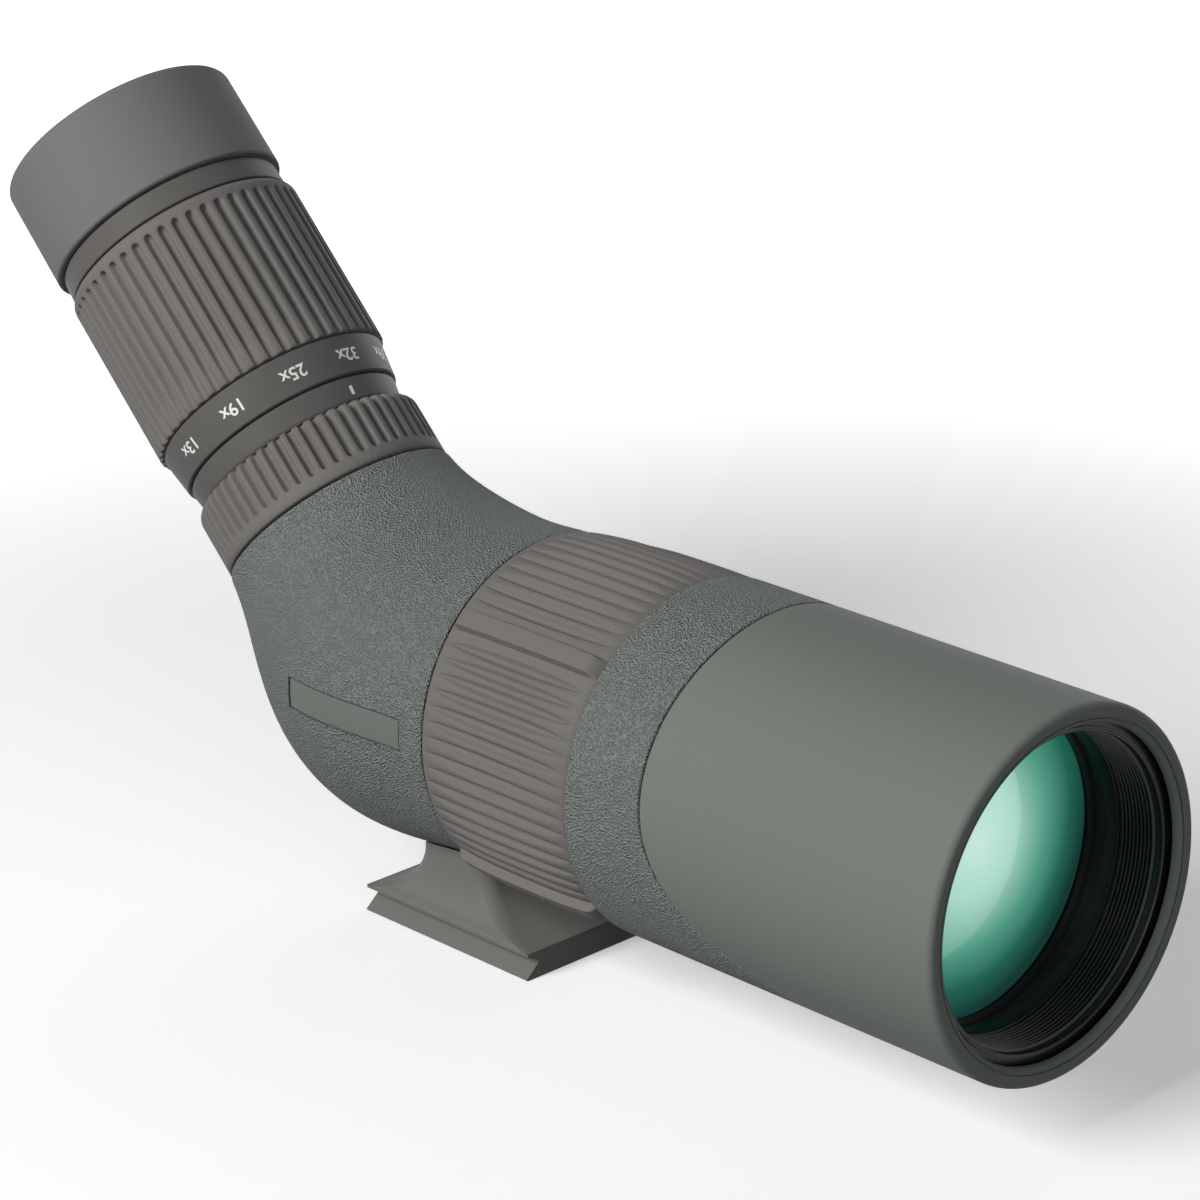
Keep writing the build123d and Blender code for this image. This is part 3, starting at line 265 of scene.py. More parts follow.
def pebbled_rubber(name, dark, light, grain, depth):
    """Moulded armour with a fine leather-like grain, its hollows darkened with painted shade."""
    f = Finish(name)
    f.dull(MATTE)
    cell = f.cells(grain, 0.35)
    fine = f.noise(grain * 1.9, 3, 0.6)
    height = cell * 0.9 + fine * 0.35
    broad = f.noise(18, 2)
    speckle = f.between(fine, 0.35, 0.7)
    # painted shade: the grain's hollows (low cell distance, low bump) are painted darker; the
    # speckle and broad mottle are the rubber's own tone
    pit_shade = f.between(cell, 0.15, 0.55)
    colour = f.blend(speckle * 0.45 + pit_shade * 0.3 + broad * 0.25, dark, light)
    rough = f.between(fine, 0.3, 0.7, 0.55, 0.7)
    return f.done(Base_Color=colour, Roughness=rough, Normal=f.bump(height, depth))


def satin_paint(name, dark, light, roughness=0.6, level=MATTE):
    """Hard satin paint with a very fine grain."""
    f = Finish(name)
    f.dull(level)
    fine = f.noise(5200, 2, 0.6)
    broad = f.noise(14, 2)
    colour = f.blend(fine * 0.5 + broad * 0.5, dark, light)
    rough = f.between(fine, 0.3, 0.7, roughness - 0.04, roughness + 0.06)
    return f.done(Base_Color=colour, Roughness=rough, Normal=f.bump(fine, 0.00004, 0.6))


def moulded(name, dark, light, roughness, grain=2600, depth=0.00004):
    """Matte moulded rubber or plastic with a light sparkle of grain."""
    f = Finish(name)
    f.dull(MATTE)
    fine = f.noise(grain, 3, 0.65)
    broad = f.noise(22, 2)
    colour = f.blend(fine * 0.6 + broad * 0.4, dark, light)
    rough = f.between(fine, 0.3, 0.7, roughness - 0.06, roughness + 0.06)
    return f.done(Base_Color=colour, Roughness=rough, Normal=f.bump(fine, depth, 0.7))


def plain_metal(name, tint, roughness):
    """Machined metal with a faint mottle."""
    f = Finish(name)
    fine = f.noise(1400, 2)
    dark = rgb(*[c * 0.85 for c in tint])
    colour = f.blend(fine, dark, rgb(*tint))
    rough = f.between(fine, 0.3, 0.7, roughness - 0.05, roughness + 0.05)
    return f.done(Base_Color=colour, Roughness=rough, Metallic=1.0)


armor_rubber = pebbled_rubber(
    "armor_rubber", rgb(0.110, 0.128, 0.116), rgb(0.390, 0.425, 0.395), 2900, 0.0008
)
shade_paint = satin_paint("shade_paint", rgb(0.170, 0.190, 0.172), rgb(0.200, 0.220, 0.200))
grip_rubber = moulded("grip_rubber", rgb(0.140, 0.133, 0.127), rgb(0.225, 0.214, 0.204), 0.62)
eyecup_rubber = moulded("eyecup_rubber", rgb(0.165, 0.160, 0.154), rgb(0.215, 0.208, 0.200), 0.62)
ring_metal = moulded(
    "ring_metal", rgb(0.100, 0.095, 0.090), rgb(0.150, 0.143, 0.136), 0.45, 4200, 0.00002
)
foot_metal = moulded(
    "foot_metal", rgb(0.165, 0.160, 0.150), rgb(0.205, 0.199, 0.186), 0.50, 3600, 0.00003
)
BLACK = (rgb(0.003, 0.003, 0.003), rgb(0.006, 0.006, 0.006))
inner_black = satin_paint("inner_black", *BLACK, 0.3, level=0.3)
dull_black = satin_paint("dull_black", *BLACK, 0.7, level=0.1)
steel = plain_metal("steel", (0.55, 0.54, 0.52), 0.3)
dark_steel = plain_metal("dark_steel", (0.16, 0.16, 0.155), 0.4)
seal_rubber = moulded("seal_rubber", rgb(0.008, 0.008, 0.008), rgb(0.014, 0.014, 0.014), 0.6)
plate_metal = satin_paint("plate_metal", rgb(0.150, 0.168, 0.152), rgb(0.180, 0.200, 0.182), 0.45)


def print_white():
    """The white of the printed numbers."""
    f = Finish("print_white")
    colour = f.blend(f.noise(3000), rgb(0.75, 0.75, 0.73), rgb(0.88, 0.88, 0.86))
    return f.done(Base_Color=colour, Roughness=0.5)


def coated_glass(name, tint):
    """Clear glass with a slight tint."""
    f = Finish(name)
    f.shader.inputs["Transmission Weight"].default_value = 1.0
    f.shader.inputs["IOR"].default_value = 1.45
    colour = f.blend(f.noise(30), rgb(*tint), rgb(*[min(1, c * 1.04) for c in tint]))
    return f.done(Base_Color=colour, Roughness=0.02)


white_print = print_white()
clear_glass = coated_glass("clear_glass", (0.93, 0.97, 0.95))
eye_glass = coated_glass("eye_glass", (0.80, 0.92, 0.88))


# Painted reflection on the front lens: a pale spot off the axis, to the left and up, fading to
# dark teal, and partly fed in as emission glow.
REFLECTION_SIDE = 4.0  # millimetres off the axis, towards the left
REFLECTION_UP = 6.0
REFLECTION_REACH = 0.03  # share of the fall-off in one millimetre
REFLECTION_GLOW = 0.62


def lens_painted_reflection():
    """The coated front lens: its green tint, with a painted reflection (a pale green spot that
    falls off to dark teal) that also glows as emission.
    """
    f = Finish("lens_painted_reflection")
    axes = f.node("ShaderNodeSeparateXYZ", None, f.place)
    across = Value(f, axes.outputs["Y"]) * (1 / MM) + REFLECTION_SIDE
    upward = Value(f, axes.outputs["Z"]) * (1 / MM) - (AXIS_H + REFLECTION_UP)
    away = (across * across + upward * upward) ** 0.5
    stops = (
        (0.00, (0.62, 0.92, 0.80)),
        (0.30, (0.40, 0.78, 0.62)),
        (0.58, (0.10, 0.42, 0.30)),
        (0.80, (0.02, 0.17, 0.12)),
        (1.00, (0.01, 0.06, 0.05)),
    )
    fall = away * REFLECTION_REACH + f.noise(60) * 0.04
    ramp = f.node("ShaderNodeValToRGB", {"stops": stops}, fall)
    f.shader.inputs["Coat Weight"].default_value = 1.0
    f.shader.inputs["Coat Roughness"].default_value = 0.02
    f.shader.inputs["Emission Strength"].default_value = 1.0
    # painted glow: a share of the painted reflection is given as emission, though the lens is no
    # lamp
    painted_glow = f.blend(REFLECTION_GLOW, rgb(0, 0, 0), ramp.outputs[0])
    return f.done(Base_Color=ramp.outputs[0], Emission_Color=painted_glow, Roughness=0.25)


lens_tint_and_reflection = lens_painted_reflection()

# --- sunshade and front armour -------------------------------------------------------------
CHIN = 29.0  # how much further forward the seam lies underneath
SEAM_SHAPE = (  # height as a share of the radius, and millimetres forward of SEAM_X
    (1.15, 2.6),
    (0.5, 0.1),
    (0.0, 1.9),
    (-0.39, 0.33 * CHIN),
    (-0.66, 0.72 * CHIN),
    (-0.86, 0.95 * CHIN),
    (-1.15, CHIN),
)


def seam_slope(i):
    """Slope of the seam's curve at one of its points."""
    before = SEAM_SHAPE[max(0, i - 1)]
    after = SEAM_SHAPE[min(len(SEAM_SHAPE) - 1, i + 1)]
    return (after[1] - before[1]) / (after[0] - before[0])


def seam(angle):
    """Station of the armour's front edge at an angle round the optical axis."""
    height = sin(radians(angle))
    for i in range(len(SEAM_SHAPE) - 1):
        (high, first), (low, last) = SEAM_SHAPE[i], SEAM_SHAPE[i + 1]
        if high >= height >= low:
            break
    step = low - high
    t = (height - high) / step
    ahead = (2 * t**3 - 3 * t**2 + 1) * first + (-2 * t**3 + 3 * t**2) * last
    lean = (t**3 - 2 * t**2 + t) * seam_slope(i) + (t**3 - t**2) * seam_slope(i + 1)
    return SEAM_X + ahead + lean * step


TUBE_STEPS = 192
SHADE_IN = 31.0
LIP_R = 29.1
LIP_T = 1.8
STRAIGHT_X = 100.0  # the outline is straight from here to the lip
STRETCH = 10.0  # stations 0 to 10 of the outline lie between the seam and STRAIGHT_X


def sunshade_place(station, angle, radius):
    start = seam(angle) + PART_GAP
    if station < STRETCH:
        station = start + (STRAIGHT_X - start) * station / STRETCH
    return on_optic(station, angle, radius)


outline = [(0.25 * k, TUBE_R) for k in (1, 2, 4, 8, 12, 16, 20, 24, 28, 32, 36)]
outline = [(0.0, TUBE_R - 0.25), (0.03, TUBE_R - 0.05)] + outline
outline += [(STRAIGHT_X + 4 * k, TUBE_R) for k in range(7)]
outline += rounded([(0, TUBE_R), (LIP_X, TUBE_R, 1.3), (LIP_X, 30.3)], 6)[1:-1]
outline += [(LIP_X, 30.35), (LIP_X - 0.1, 30.25), (LIP_X - 0.45, 30.2), (LIP_X - 0.45, 29.95)]
outline += [(LIP_X - 0.15, 29.85), (LIP_X - 0.12, 29.6), (LIP_X - 0.5, 29.2), (LIP_X - 0.7, LIP_R)]
outline += [(LIP_X - LIP_T, LIP_R)]
outline += [(x, SHADE_IN) for x in (LIP_X - LIP_T, LIP_X - 4, STRAIGHT_X, 6, 2, 0.0)]
bm = spun(outline, TUBE_STEPS)
placed(bm, sunshade_place)
made("sunshade_shell", bm, shade_paint, "sunshade_slide", ["sunshade"])

ARMOR_IN = 30.05
EVEN_X = 50.0  # the armour's outline is even up to here
ARMOR_END = EVEN_X + STRETCH


def armor_place(station, angle, radius):
    if station > EVEN_X:
        station = EVEN_X + (seam(angle) - EVEN_X) * (station - EVEN_X) / STRETCH
    return on_optic(station, angle, radius)


armor_x = RING[1] + PART_GAP
outline = rounded([(armor_x, ARMOR_IN), (armor_x, TUBE_R, 0.6), (EVEN_X, TUBE_R)], 5)[:-1]
outline += [(EVEN_X + k, TUBE_R) for k in (0, 1, 2, 3, 4, 5, 6, 7, 8, 9, 9.5)]
outline += [(ARMOR_END - 0.1, TUBE_R - 0.04), (ARMOR_END, TUBE_R - 0.25)]
outline += [(ARMOR_END, ARMOR_IN), (EVEN_X, ARMOR_IN)]
bm = spun(outline, TUBE_STEPS)
placed(bm, armor_place)
made("front_armor", bm, armor_rubber, "scope", ["tube_armor"])

RING_STEPS = 160

# --- objective -----------------------------------------------------------------------------
LENS_BACK = 110.8
LENS_EDGE_R = 28.0
LENS_EDGE_T = 3.8
BULGE = 4.0
CLEAR_R = 26.5
FACE_STEPS = 24
curve_r = (CLEAR_R**2 + BULGE**2) / (2 * BULGE)
outline = []
for k in range(FACE_STEPS + 1):
    r = CLEAR_R * k / FACE_STEPS
    outline.append((LENS_BACK + BULGE - curve_r + sqrt(curve_r**2 - r**2), r))
outline += [(LENS_BACK, LENS_EDGE_R), (LENS_BACK - LENS_EDGE_T, LENS_EDGE_R)]
outline += [(LENS_BACK - LENS_EDGE_T, 0.0)]
bm = spun(outline, 128, closed=False)
placed(bm, on_optic)
made("front_lens", bm, lens_tint_and_reflection, "scope", ["objective_front_lens"])

RIDGES = 9
RIDGE_X = 126.1
RIDGE_PITCH = 0.8
RIDGE_R = 27.3
VALLEY_R = 26.85
outline = [(111.9, 26.6), (111.9, 28.05), (TUBE_END_X + 0.2, 28.05), (TUBE_END_X + 0.2, 27.75)]
outline += [(TUBE_END_X + 0.05, 27.6), (TUBE_END_X + 0.05, 27.35), (TUBE_END_X - 0.3, 27.25)]
outline += [(126.4, 27.25)]
for k in range(RIDGES):
    x = RIDGE_X - RIDGE_PITCH * k
    outline += [(x, RIDGE_R), (x - 0.25, VALLEY_R), (x - 0.45, VALLEY_R), (x - 0.62, RIDGE_R)]
outline += [(118.6, RIDGE_R), (118.4, 26.9), (116.6, 26.35), (116.3, 26.35)]
outline += [(116.3, 27.2), (113.2, 27.2), (113.0, 26.6)]
bm = spun(outline, RING_STEPS)
placed(bm, on_optic)
made("front_retaining_ring", bm, inner_black, "scope", ["objective_retaining_ring"])

# --- focus ring ----------------------------------------------------------------------------
COLUMNS = 8  # across one groove and its land
GAP_GROOVES = 15
GROOVE_PITCH = 5.22  # degrees
GROOVE_HALF = 1.05
GROOVE_DEPTH = 1.2
RIBS = 4
RIB_COLUMNS = 24
RIB_HALF = 3.3  # degrees
RIB_RISE = 1.6
FIRST_RIB = 45.0
SECTOR = GAP_GROOVES * COLUMNS + RIB_COLUMNS
SECTOR_SPAN = 360 / RIBS
RIB_SPAN = SECTOR_SPAN - GAP_GROOVES * GROOVE_PITCH
CROWN_R = 32.25
CROWN_FALL = 0.9
LAND_R = 32.3
SKIRT_R = 31.0  # nothing is pressed into the ring below this
RING_MID = (RING[0] + RING[1]) / 2
RING_HALF = (RING[1] - RING[0]) / 2


def across_groove(column, half_width, half_pitch):
    """Place across one pitch and share of the depth, for a column counted from the middle."""
    side = 1 if column > 0 else -1
    k = abs(column)
    places = (0.0, 0.45 * half_width, 0.85 * half_width, 1.1 * half_width + 0.03, half_pitch)
    depths = (1.0, 0.85, 0.25, 0.0, 0.0)
    return side * places[k], depths[k]


def crown(station):
    """Radius of the focus ring's land at a station."""
    u = abs(station - RING_MID) / RING_HALF
    return CROWN_R - CROWN_FALL * u**3


def focus_place(station, angle, radius):
    if radius < SKIRT_R:
        return on_optic(station, angle, radius)
    step = 360 / (RIBS * SECTOR)
    k = int(round(angle / step)) % (RIBS * SECTOR)
    sector, k = divmod(k, SECTOR)
    start = FIRST_RIB + SECTOR_SPAN * sector
    u = (station - RING_MID) / RING_HALF
    base = min(radius, crown(station))
    if k < GAP_GROOVES * COLUMNS:
        groove, column = divmod(k, COLUMNS)
        column -= COLUMNS // 2
        middle = start + RIB_SPAN / 2 + (groove + 0.5) * GROOVE_PITCH
        taper = max(0.0, 1 - abs(u / 0.90) ** 2.4)
        half_width = degrees(GROOVE_HALF * taper**0.6 / LAND_R)
        offset, depth = across_groove(column, half_width, GROOVE_PITCH / 2)
        return on_optic(station, middle + offset, base - GROOVE_DEPTH * depth * taper**0.7)
    k -= GAP_GROOVES * COLUMNS
    offset = ((k + 0.5) / RIB_COLUMNS - 0.5) * RIB_SPAN
    middle = start + SECTOR_SPAN
    rise = 1.0 - smooth(abs(offset) / RIB_HALF, 0.78, 1.12)
    ends = 1 - smooth(abs(u), 0.86, 0.98)
    return on_optic(station, middle + offset, base + RIB_RISE * rise * ends)


def ring_side(station, inward):
    """The rounded shoulder of the ring at one of its ends, from the inside out."""
    soft = station + 0.3 * inward
    return [
        (station, 30.45),
        (station, 31.05),
        (station + 0.1 * inward, crown(station) - 0.5),
        (soft, crown(soft) - 0.21),
    ]


stations = [RING[0] + 0.7 + (RING[1] - RING[0] - 1.4) * k / 48 for k in range(49)]
outline = ring_side(RING[0], 1) + [(x, crown(x)) for x in stations] + ring_side(RING[1], -1)[::-1]
bm = spun(outline, RIBS * SECTOR)
placed(bm, focus_place)
made("focus_grip", bm, grip_rubber, "focus_ring", ["focus_ring_grip"], sharp=50)

# --- housing -------------------------------------------------------------------------------
HOUSING_START_X = 5.0
HOUSING_END_T = 29.4
HOUSING_RADII = (30.9, 31.8, 31.2, 27.2, 23.4)
HOUSING_BULGE = 3.65
HOUSING_LEAN = 0.54


def housing_radius(s):
    """Radius of the bent body, a smooth curve through its measured sections."""
    n = len(HOUSING_RADII) - 1
    total = 0.0
    for i, value in enumerate(HOUSING_RADII):
        for j in range(n + 1):
            if j != i:
                value *= (s * n - j) / (i - j)
        total += value
    return total


def on_housing(s, angle, inset):
    """A point on the bent body; s runs from the front, 0, to the eyepiece, 1."""
    if s < 0:
        return on_optic(HOUSING_START_X - s, angle, HOUSING_RADII[0] - inset)
    start = Vector((HOUSING_START_X, 0, AXIS_H))
    end = BEND + EYE_DIR * HOUSING_END_T
    point = start * (1 - s) ** 2 + BEND * (2 * s * (1 - s)) + end * s**2
    tangent = ((BEND - start) * (1 - s) + (end - BEND) * s).normalized()
    outward = Vector((-tangent.z, 0, tangent.x))
    swell = 16 * (s * (1 - s)) ** 2 * (1 + HOUSING_LEAN * (0.5 - s))
    point += outward * (HOUSING_BULGE * swell)
    a = radians(angle)
    radius = housing_radius(s) - inset
    return point + Vector((0, -1, 0)) * (radius * cos(a)) - outward * (radius * sin(a))


SKIN = 1.5
FORM_R = 100  # the outline's radius for the skin's outer face


def housing_place(station, angle, radius):
    return on_housing(station, angle, FORM_R - radius)


BED_R = FORM_R - SKIN
outline = [(-3.45, BED_R), (-3.45, 99.5), (-3.3, 99.85)]
outline += [(x, FORM_R) for x in (-3.0, -2.0, -1.0)]
outline += [(k / 40, FORM_R) for k in range(40)]
outline += [(0.985, FORM_R), (0.997, 99.85), (1.0, 99.5), (1.0, BED_R)]
outline += [(1 - k / 20, BED_R) for k in range(1, 21)]

PLATE = (-12.4, 45.5)  # the nameplate's middle, along and up
PLATE_HALF = (15.05, 3.1)
PLATE_POCKET = 0.8


def sunk_plate(bm, outer):
    """Cuts the nameplate's shallow pocket into the left side of the body."""
    for face in outer:
        face.material_index = 1

    def near(face, room):
        middle = face.calc_center_median() / MM
        return (
            face.material_index == 1
            and middle.y < 0
            and abs(middle.x - PLATE[0]) < PLATE_HALF[0] + room
            and abs(middle.z - PLATE[1]) < PLATE_HALF[1] + room
        )

    for axis, share in ((0, -1), (0, 1), (1, -1), (1, 1)):
        faces = [face for face in bm.faces if near(face, 4)]
        edges = {edge for face in faces for edge in face.edges}
        verts = {vert for face in faces for vert in face.verts}
        out = Vector((share, 0, 0)) if axis == 0 else Vector((0, 0, share))
        cut = out * (share * PLATE[axis] + PLATE_HALF[axis])
        bmesh.ops.bisect_plane(
            bm, geom=faces + list(edges) + list(verts), dist=1e-7, plane_co=cut * MM, plane_no=out
        )
    sunk = [face for face in bm.faces if near(face, 0)]
    grown = bmesh.ops.extrude_face_region(bm, geom=sunk)["geom"]
    for item in grown:
        if isinstance(item, bmesh.types.BMVert):
            item.co.y += PLATE_POCKET * MM
    bmesh.ops.delete(bm, geom=[face for face in sunk if face.is_valid], context="FACES_ONLY")
    for face in bm.faces:
        face.material_index = 0


bm = spun(outline, 144)
outer = [
    face for face in bm.faces if min(hypot(v.co.y, v.co.z) for v in face.verts) > FORM_R - 0.1
]
placed(bm, housing_place)
sunk_plate(bm, outer)
made("body_skin", bm, armor_rubber, "scope", ["body_armor"])

# --- pieces that keep their own mesh -------------------------------------------------------
FINISHES = (
    (foot_metal, "tripod_foot"),
    (dark_steel, "foot_screws purge_screw sunshade_stop_ring eyepiece_mount_screws"),
    (steel, "tripod_bushing focus_drive_pins prism_strap zoom_front_pins zoom_rear_pins"),
    (steel, "eyecup_pins"),
    (plate_metal, "nameplate"),
    (dull_black, "sunshade_guide objective_spacers light_baffles focus_lens_retaining_ring"),
    (dull_black, "prism_carrier zoom_sleeve eyecup_cam_ring"),
    (inner_black, "objective_tube focus_ring_sleeve focus_cell prism_housing eyepiece_mount"),
    (inner_black, "eyepiece_barrel zoom_front_cell zoom_rear_cell field_lens_cell"),
    (inner_black, "eye_lens_cell eye_lens_retaining_ring eyepiece_top_ring"),
    (clear_glass, "objective_middle_lens objective_rear_lens focus_lens roof_prism"),
    (clear_glass, "zoom_front_lens zoom_rear_lens field_lens"),
    (eye_glass, "eye_lens"),
    (seal_rubber, "objective_o_ring focus_ring_seals"),
    (ring_metal, "locking_collar index_ring zoom_number_ring name_ring eyecup_sleeve"),
    (grip_rubber, "zoom_grip"),
    (eyecup_rubber, "eyecup"),
)
for material, nodes in FINISHES:
    for node in nodes.split():
        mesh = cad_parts[node].data
        mesh.materials.clear()
        mesh.materials.append(material)

# --- eyepiece ------------------------------------------------------------------------------
GRIP = (55.8, 90.9)
GRIP_R = 23.9
GRIP_GROOVES = 50
COLLAR = (29.85, 42.5)
COLLAR_R = 23.1
COLLAR_GROOVES = 54
GRIP_COLUMNS = 10
INNER_R = 20.5  # nothing is pressed into the rings below this


def grooved(count, land, run, half_width, depth):
    """A place for a ring with grooves: run gives the share of width and depth at a station."""
    def place(station, angle, radius):
        if radius < INNER_R:
            return on_eye(station, angle, radius)
        step = 360 / (count * GRIP_COLUMNS)
        k = int(round(angle / step)) % (count * GRIP_COLUMNS)
        groove, column = divmod(k, GRIP_COLUMNS)
        column -= GRIP_COLUMNS // 2
        middle = (groove + 0.5) * 360 / count
        width, share = run(station)
        half_pitch = 180 / count
        side = 1 if column > 0 else -1
        half = half_width * width
        places = (0.0, 0.4 * half, 0.75 * half, half, half + 0.14)
        if abs(column) == len(places):
            offset, deep = half_pitch, 0.0
        else:
            offset = min(degrees(places[abs(column)] / land), half_pitch * 0.96)
            deep = (1.0, 0.95, 0.72, 0.1, 0.0)[abs(column)]
        return on_eye(station, middle + side * offset, radius - depth * deep * share)
    return place


def round_end(past, reach):
    """Share of a groove's width at a distance past the start of its round end."""
    return sqrt(max(0.0, 1 - (past / reach) ** 2)) if past > 0 else 1.0


def grip_run(station):
    width = round_end(station - (GRIP[1] - 3.3), 0.9)
    rise = 0.45 + 0.55 * smooth(station, GRIP[0], GRIP[0] + 9)
    return width, width**0.5 * rise


stations = [GRIP[0] + 0.25 + (GRIP[1] - 4 - GRIP[0]) * k / 22 for k in range(23)]
stations = [x for x in stations if x < GRIP[1] - 3.5]
stations += [GRIP[1] - 3.5 + 0.12 * k for k in range(1, 11)]
outline = [(GRIP[0], 19.95), (GRIP[0], GRIP_R - 0.35), (GRIP[0] + 0.1, GRIP_R - 0.1)]
outline += [(x, GRIP_R) for x in stations]
top = [(80, GRIP_R), (GRIP[1] - 0.1, GRIP_R, 1.5), (GRIP[1], GRIP_R - 1.3, 0.2), (GRIP[1], 19.95)]
outline += rounded(top, 5)[1:]
bm = spun(outline, GRIP_GROOVES * GRIP_COLUMNS)
placed(bm, grooved(GRIP_GROOVES, GRIP_R, grip_run, 0.8, 1.35))
made("zoom_grip_rubber", bm, grip_rubber, "zoom_ring", ["zoom_grip"], sharp=50)


def collar_run(station):
    width = round_end(COLLAR[0] + 3.3 - station, 0.8)
    return width, width**0.5


stations = [COLLAR[0] + 0.4, COLLAR[0] + 1.4] + [COLLAR[0] + 2.4 + 0.12 * k for k in range(9)]
stations += [COLLAR[0] + 3.5 + (COLLAR[1] - COLLAR[0] - 4.9) * k / 8 for k in range(1, 9)]
outline = [(COLLAR[0], 19.1), (COLLAR[0], COLLAR_R - 0.55), (COLLAR[0] + 0.12, COLLAR_R - 0.25)]
outline += [(x, COLLAR_R) for x in stations]
top = [(35, COLLAR_R), (COLLAR[1] - 0.5, COLLAR_R - 0.05, 1.5)]
top += [(COLLAR[1], COLLAR_R - 1.0, 0.3), (COLLAR[1], 17.45)]
outline += rounded(top, 6)[1:]
outline += [(38.4, 17.45), (38.4, 19.1)]
bm = spun(outline, COLLAR_GROOVES * GRIP_COLUMNS)
placed(bm, grooved(COLLAR_GROOVES, COLLAR_R, collar_run, 0.74, 1.3))
made("collar_ring", bm, grip_rubber, "collar", ["locking_collar"], sharp=50)


def eye_ring(name, outline, material, body, nodes, turns=4):
    bm = spun(rounded(outline, turns), RING_STEPS)
    placed(bm, on_eye)
    made(name, bm, material, body, nodes)


BARREL_R = 17.15
SLEEVE_R = 19.95
band = [(42.8, BARREL_R), (42.8, 20.75, 0.15), (43.3, 21.05, 0.2), (47.3, 21.7, 0.2)]
band += [(47.6, 21.45), (47.6, BARREL_R)]
eye_ring("index_band", band, ring_metal, "scope", ["index_ring"])
band = [(47.9, SLEEVE_R), (47.9, 22.0, 0.1), (48.1, 22.25, 0.15), (55.3, 23.2, 0.15)]
band += [(55.5, 23.05), (55.5, SLEEVE_R)]
eye_ring("number_band", band, ring_metal, "zoom_ring", ["zoom_number_ring"])
band = [(91.2, BARREL_R), (91.2, 22.75, 0.1), (91.4, 23.0, 0.15), (95.7, 22.8, 0.15)]
band += [(95.9, 22.55), (95.9, BARREL_R)]
eye_ring("bare_band", band, ring_metal, "scope", ["name_ring"])
cup = [(96.2, 20.6), (96.2, 23.6), (96.5, 23.9, 0.2), (117.2, 23.75, 1.5), (117.2, 20.1, 1.2)]
cup += [(114.9, 19.0, 0.5), (114.73, 18.0), (114.73, 20.6)]
eye_ring("eyecup_shell", cup, eyecup_rubber, "eyecup_lift", ["eyecup"], turns=6)

# --- numbers and index mark ----------------------------------------------------------------
PRINT_T = 51.6
PRINT_SIZE = 3.45
PRINT_PROUD = 0.02
NUMBERS = (("13x", 0.8), ("19x", 32.9), ("25x", 65.9), ("32x", 97.3), ("39x", 125.6))
MARK_T = 44.9
MARK_DEG = 90.8
MARK_SIZE = (1.7, 1.7, 0.1)  # millimetres along, degrees across, millimetres thick


def number_band_radius(t):
    return 22.25 + (t - 48.1) * 0.95 / 7.2


def index_band_radius(t):
    return 21.05 + (t - 43.3) * 0.65 / 4.0


def numeral(text, angle):
    """One number of the zoom scale, wrapped round the number band."""
    curve = bpy.data.curves.new("numeral", "FONT")
    curve.body = text
    curve.size = PRINT_SIZE
    curve.align_x, curve.align_y = "CENTER", "CENTER"
    curve.extrude = 0.03
    curve.offset = 0.05
    curve.resolution_u = 4
    holder = bpy.data.objects.new("numeral_curve", curve)
    scene.collection.objects.link(holder)
    bpy.context.view_layer.update()
    mesh = bpy.data.meshes.new_from_object(holder)
    bpy.data.objects.remove(holder)
    bm = bmesh.new()
    bm.from_mesh(mesh)
    bmesh.ops.remove_doubles(bm, verts=bm.verts, dist=1e-5)
    for v in bm.verts:
        t = PRINT_T - v.co.y
        r = number_band_radius(t) + PRINT_PROUD + v.co.z
        v.co = on_eye(t, angle - degrees(v.co.x / r), r) * MM
    made("numeral_" + text, bm, white_print, "zoom_ring")


for text, angle in NUMBERS:
    numeral(text, angle)

bm = bmesh.new()
bmesh.ops.create_cube(bm, size=1)
for v in bm.verts:
    t = MARK_T + v.co.x * MARK_SIZE[0]
    r = index_band_radius(t) + 0.03 + v.co.z * MARK_SIZE[2]
    v.co = on_eye(t, MARK_DEG + v.co.y * MARK_SIZE[1], r) * MM
made("index_mark", bm, white_print, "scope")

# --- stage ---------------------------------------------------------------------------------
def backdrop():
    """A pale floor that is white to the eye, and throws little light back on the object."""
    f = Finish("studio_white")
    path = f.node("ShaderNodeLightPath").outputs
    seen = Value(f, path["Is Camera Ray"]) + Value(f, path["Is Glossy Ray"])
    seen = (seen + Value(f, path["Is Transmission Ray"])).clipped()
    f.shader.inputs["Emission Strength"].default_value = 1.0
    f.dull(0.0)
    colour = f.blend(seen, rgb(0.10, 0.10, 0.10), rgb(1, 1, 1))
    far = f.node("ShaderNodeVectorMath", {"operation": "LENGTH"}, f.place)
    reach = f.between(Value(f, far.outputs["Value"]), 0.16, 0.5)
    glow = f.blend(seen, rgb(0, 0, 0), f.blend(reach, rgb(0.31, 0.31, 0.31), rgb(1, 1, 1)))
    return f.done(Base_Color=colour, Emission_Color=glow, Roughness=0.9)


bm = bmesh.new()
bmesh.ops.create_grid(bm, x_segments=1, y_segments=1, size=6)
mesh = bpy.data.meshes.new("floor")
bm.to_mesh(mesh)
bm.free()
floor = bpy.data.objects.new("floor", mesh)
scene.collection.objects.link(floor)
floor.data.materials.append(backdrop())


AIM = Vector((0.02, 0, 0.06))


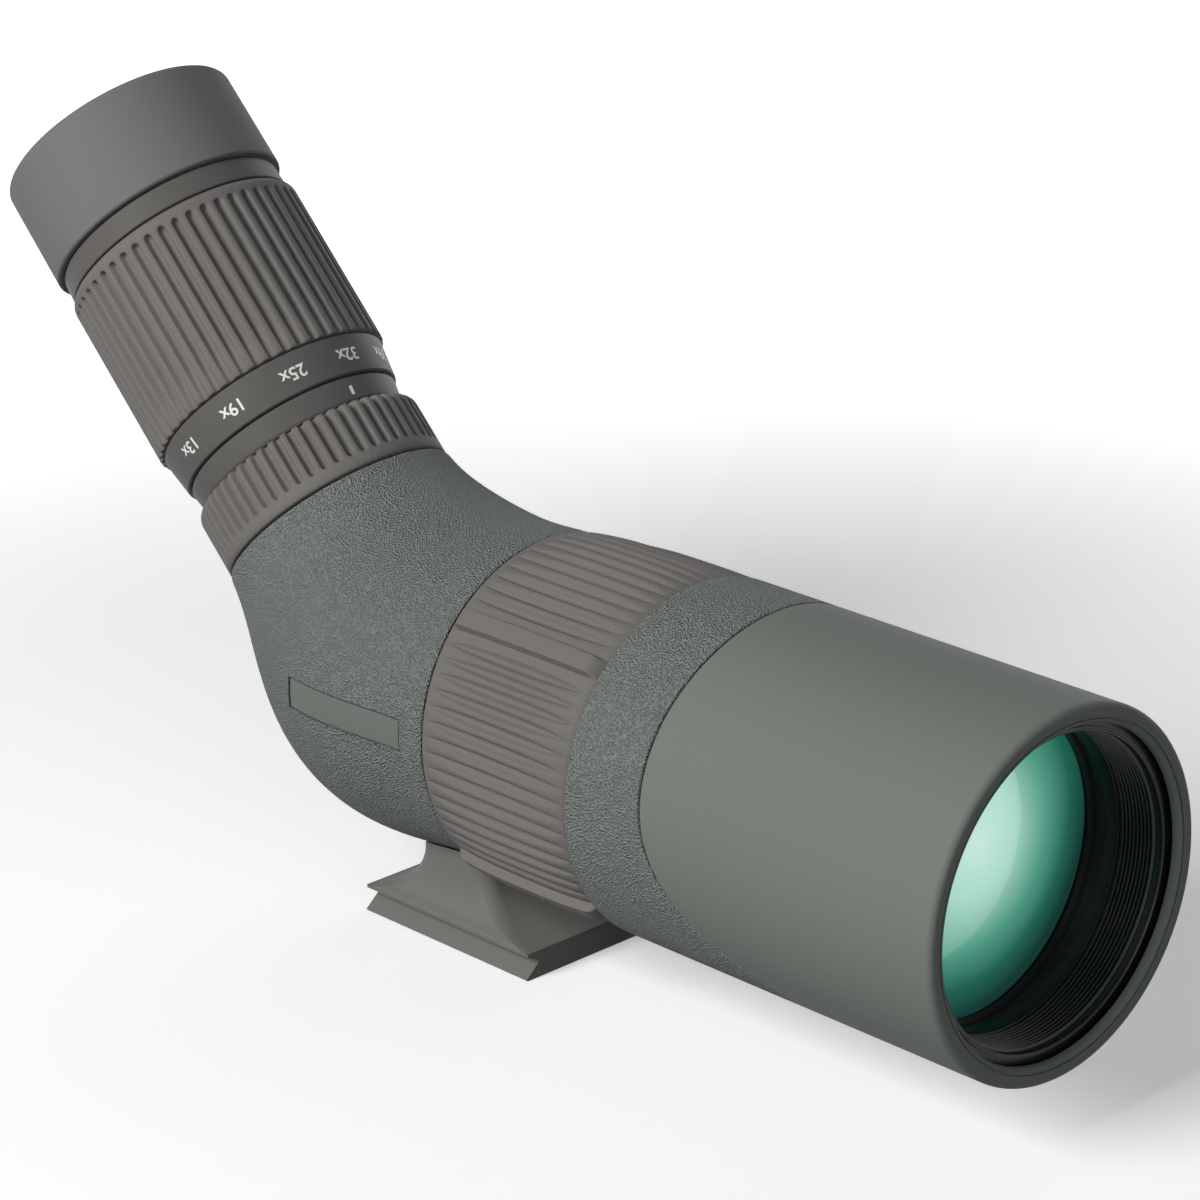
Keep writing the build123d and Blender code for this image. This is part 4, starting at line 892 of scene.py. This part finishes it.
def softbox(name, place, size, power):
    """A square lamp that looks at the middle of the object."""
    lamp = bpy.data.lights.new(name, "AREA")
    lamp.shape = "SQUARE"
    lamp.size = size
    lamp.energy = power
    holder = bpy.data.objects.new(name, lamp)
    holder.location = place
    holder.rotation_euler = (AIM - Vector(place)).to_track_quat("-Z", "Y").to_euler()
    scene.collection.objects.link(holder)


softbox("key_left", (-0.08, -1.04, 0.69), 0.6, 14)
softbox("front_right", (1.15, -0.45, 0.35), 0.6, 2.8)
softbox("far_side", (-0.20, 1.15, 0.32), 0.7, 4)

world = bpy.data.worlds.new("studio")
world.use_nodes = True
tree = world.node_tree
around = tree.nodes["Background"]
around.inputs["Color"].default_value = rgb(1, 1, 1)
around.inputs["Strength"].default_value = 0.03
white = tree.nodes.new("ShaderNodeBackground")
white.inputs["Color"].default_value = rgb(1, 1, 1)
white.inputs["Strength"].default_value = 1.0
rays = tree.nodes.new("ShaderNodeLightPath").outputs
seen = rays["Is Camera Ray"]
for other in ("Is Transmission Ray", "Is Glossy Ray"):
    either = tree.nodes.new("ShaderNodeMath")
    either.operation = "MAXIMUM"
    tree.links.new(seen, either.inputs[0])
    tree.links.new(rays[other], either.inputs[1])
    seen = either.outputs[0]
choice = tree.nodes.new("ShaderNodeMixShader")
tree.links.new(seen, choice.inputs[0])
tree.links.new(around.outputs[0], choice.inputs[1])
tree.links.new(white.outputs[0], choice.inputs[2])
tree.links.new(choice.outputs[0], tree.nodes["World Output"].inputs["Surface"])
scene.world = world
scene.view_settings.view_transform = "Standard"

# --- camera --------------------------------------------------------------------------------
camera = bpy.data.cameras.new("camera")
camera.sensor_width = 36
camera.lens = 132.8
camera.clip_start, camera.clip_end = 0.05, 30
viewer = bpy.data.objects.new("camera", camera)
right = Vector((0.69343, 0.72041, -0.01243))
up = Vector((-0.24661, 0.25351, 0.93537))
back = right.cross(up).normalized()
up = back.cross(right).normalized()
turned = Matrix((right, up, back)).transposed().to_4x4()
turned.translation = Vector((0.5491, -0.5025, 0.3430))
viewer.matrix_world = turned
scene.collection.objects.link(viewer)
scene.camera = viewer
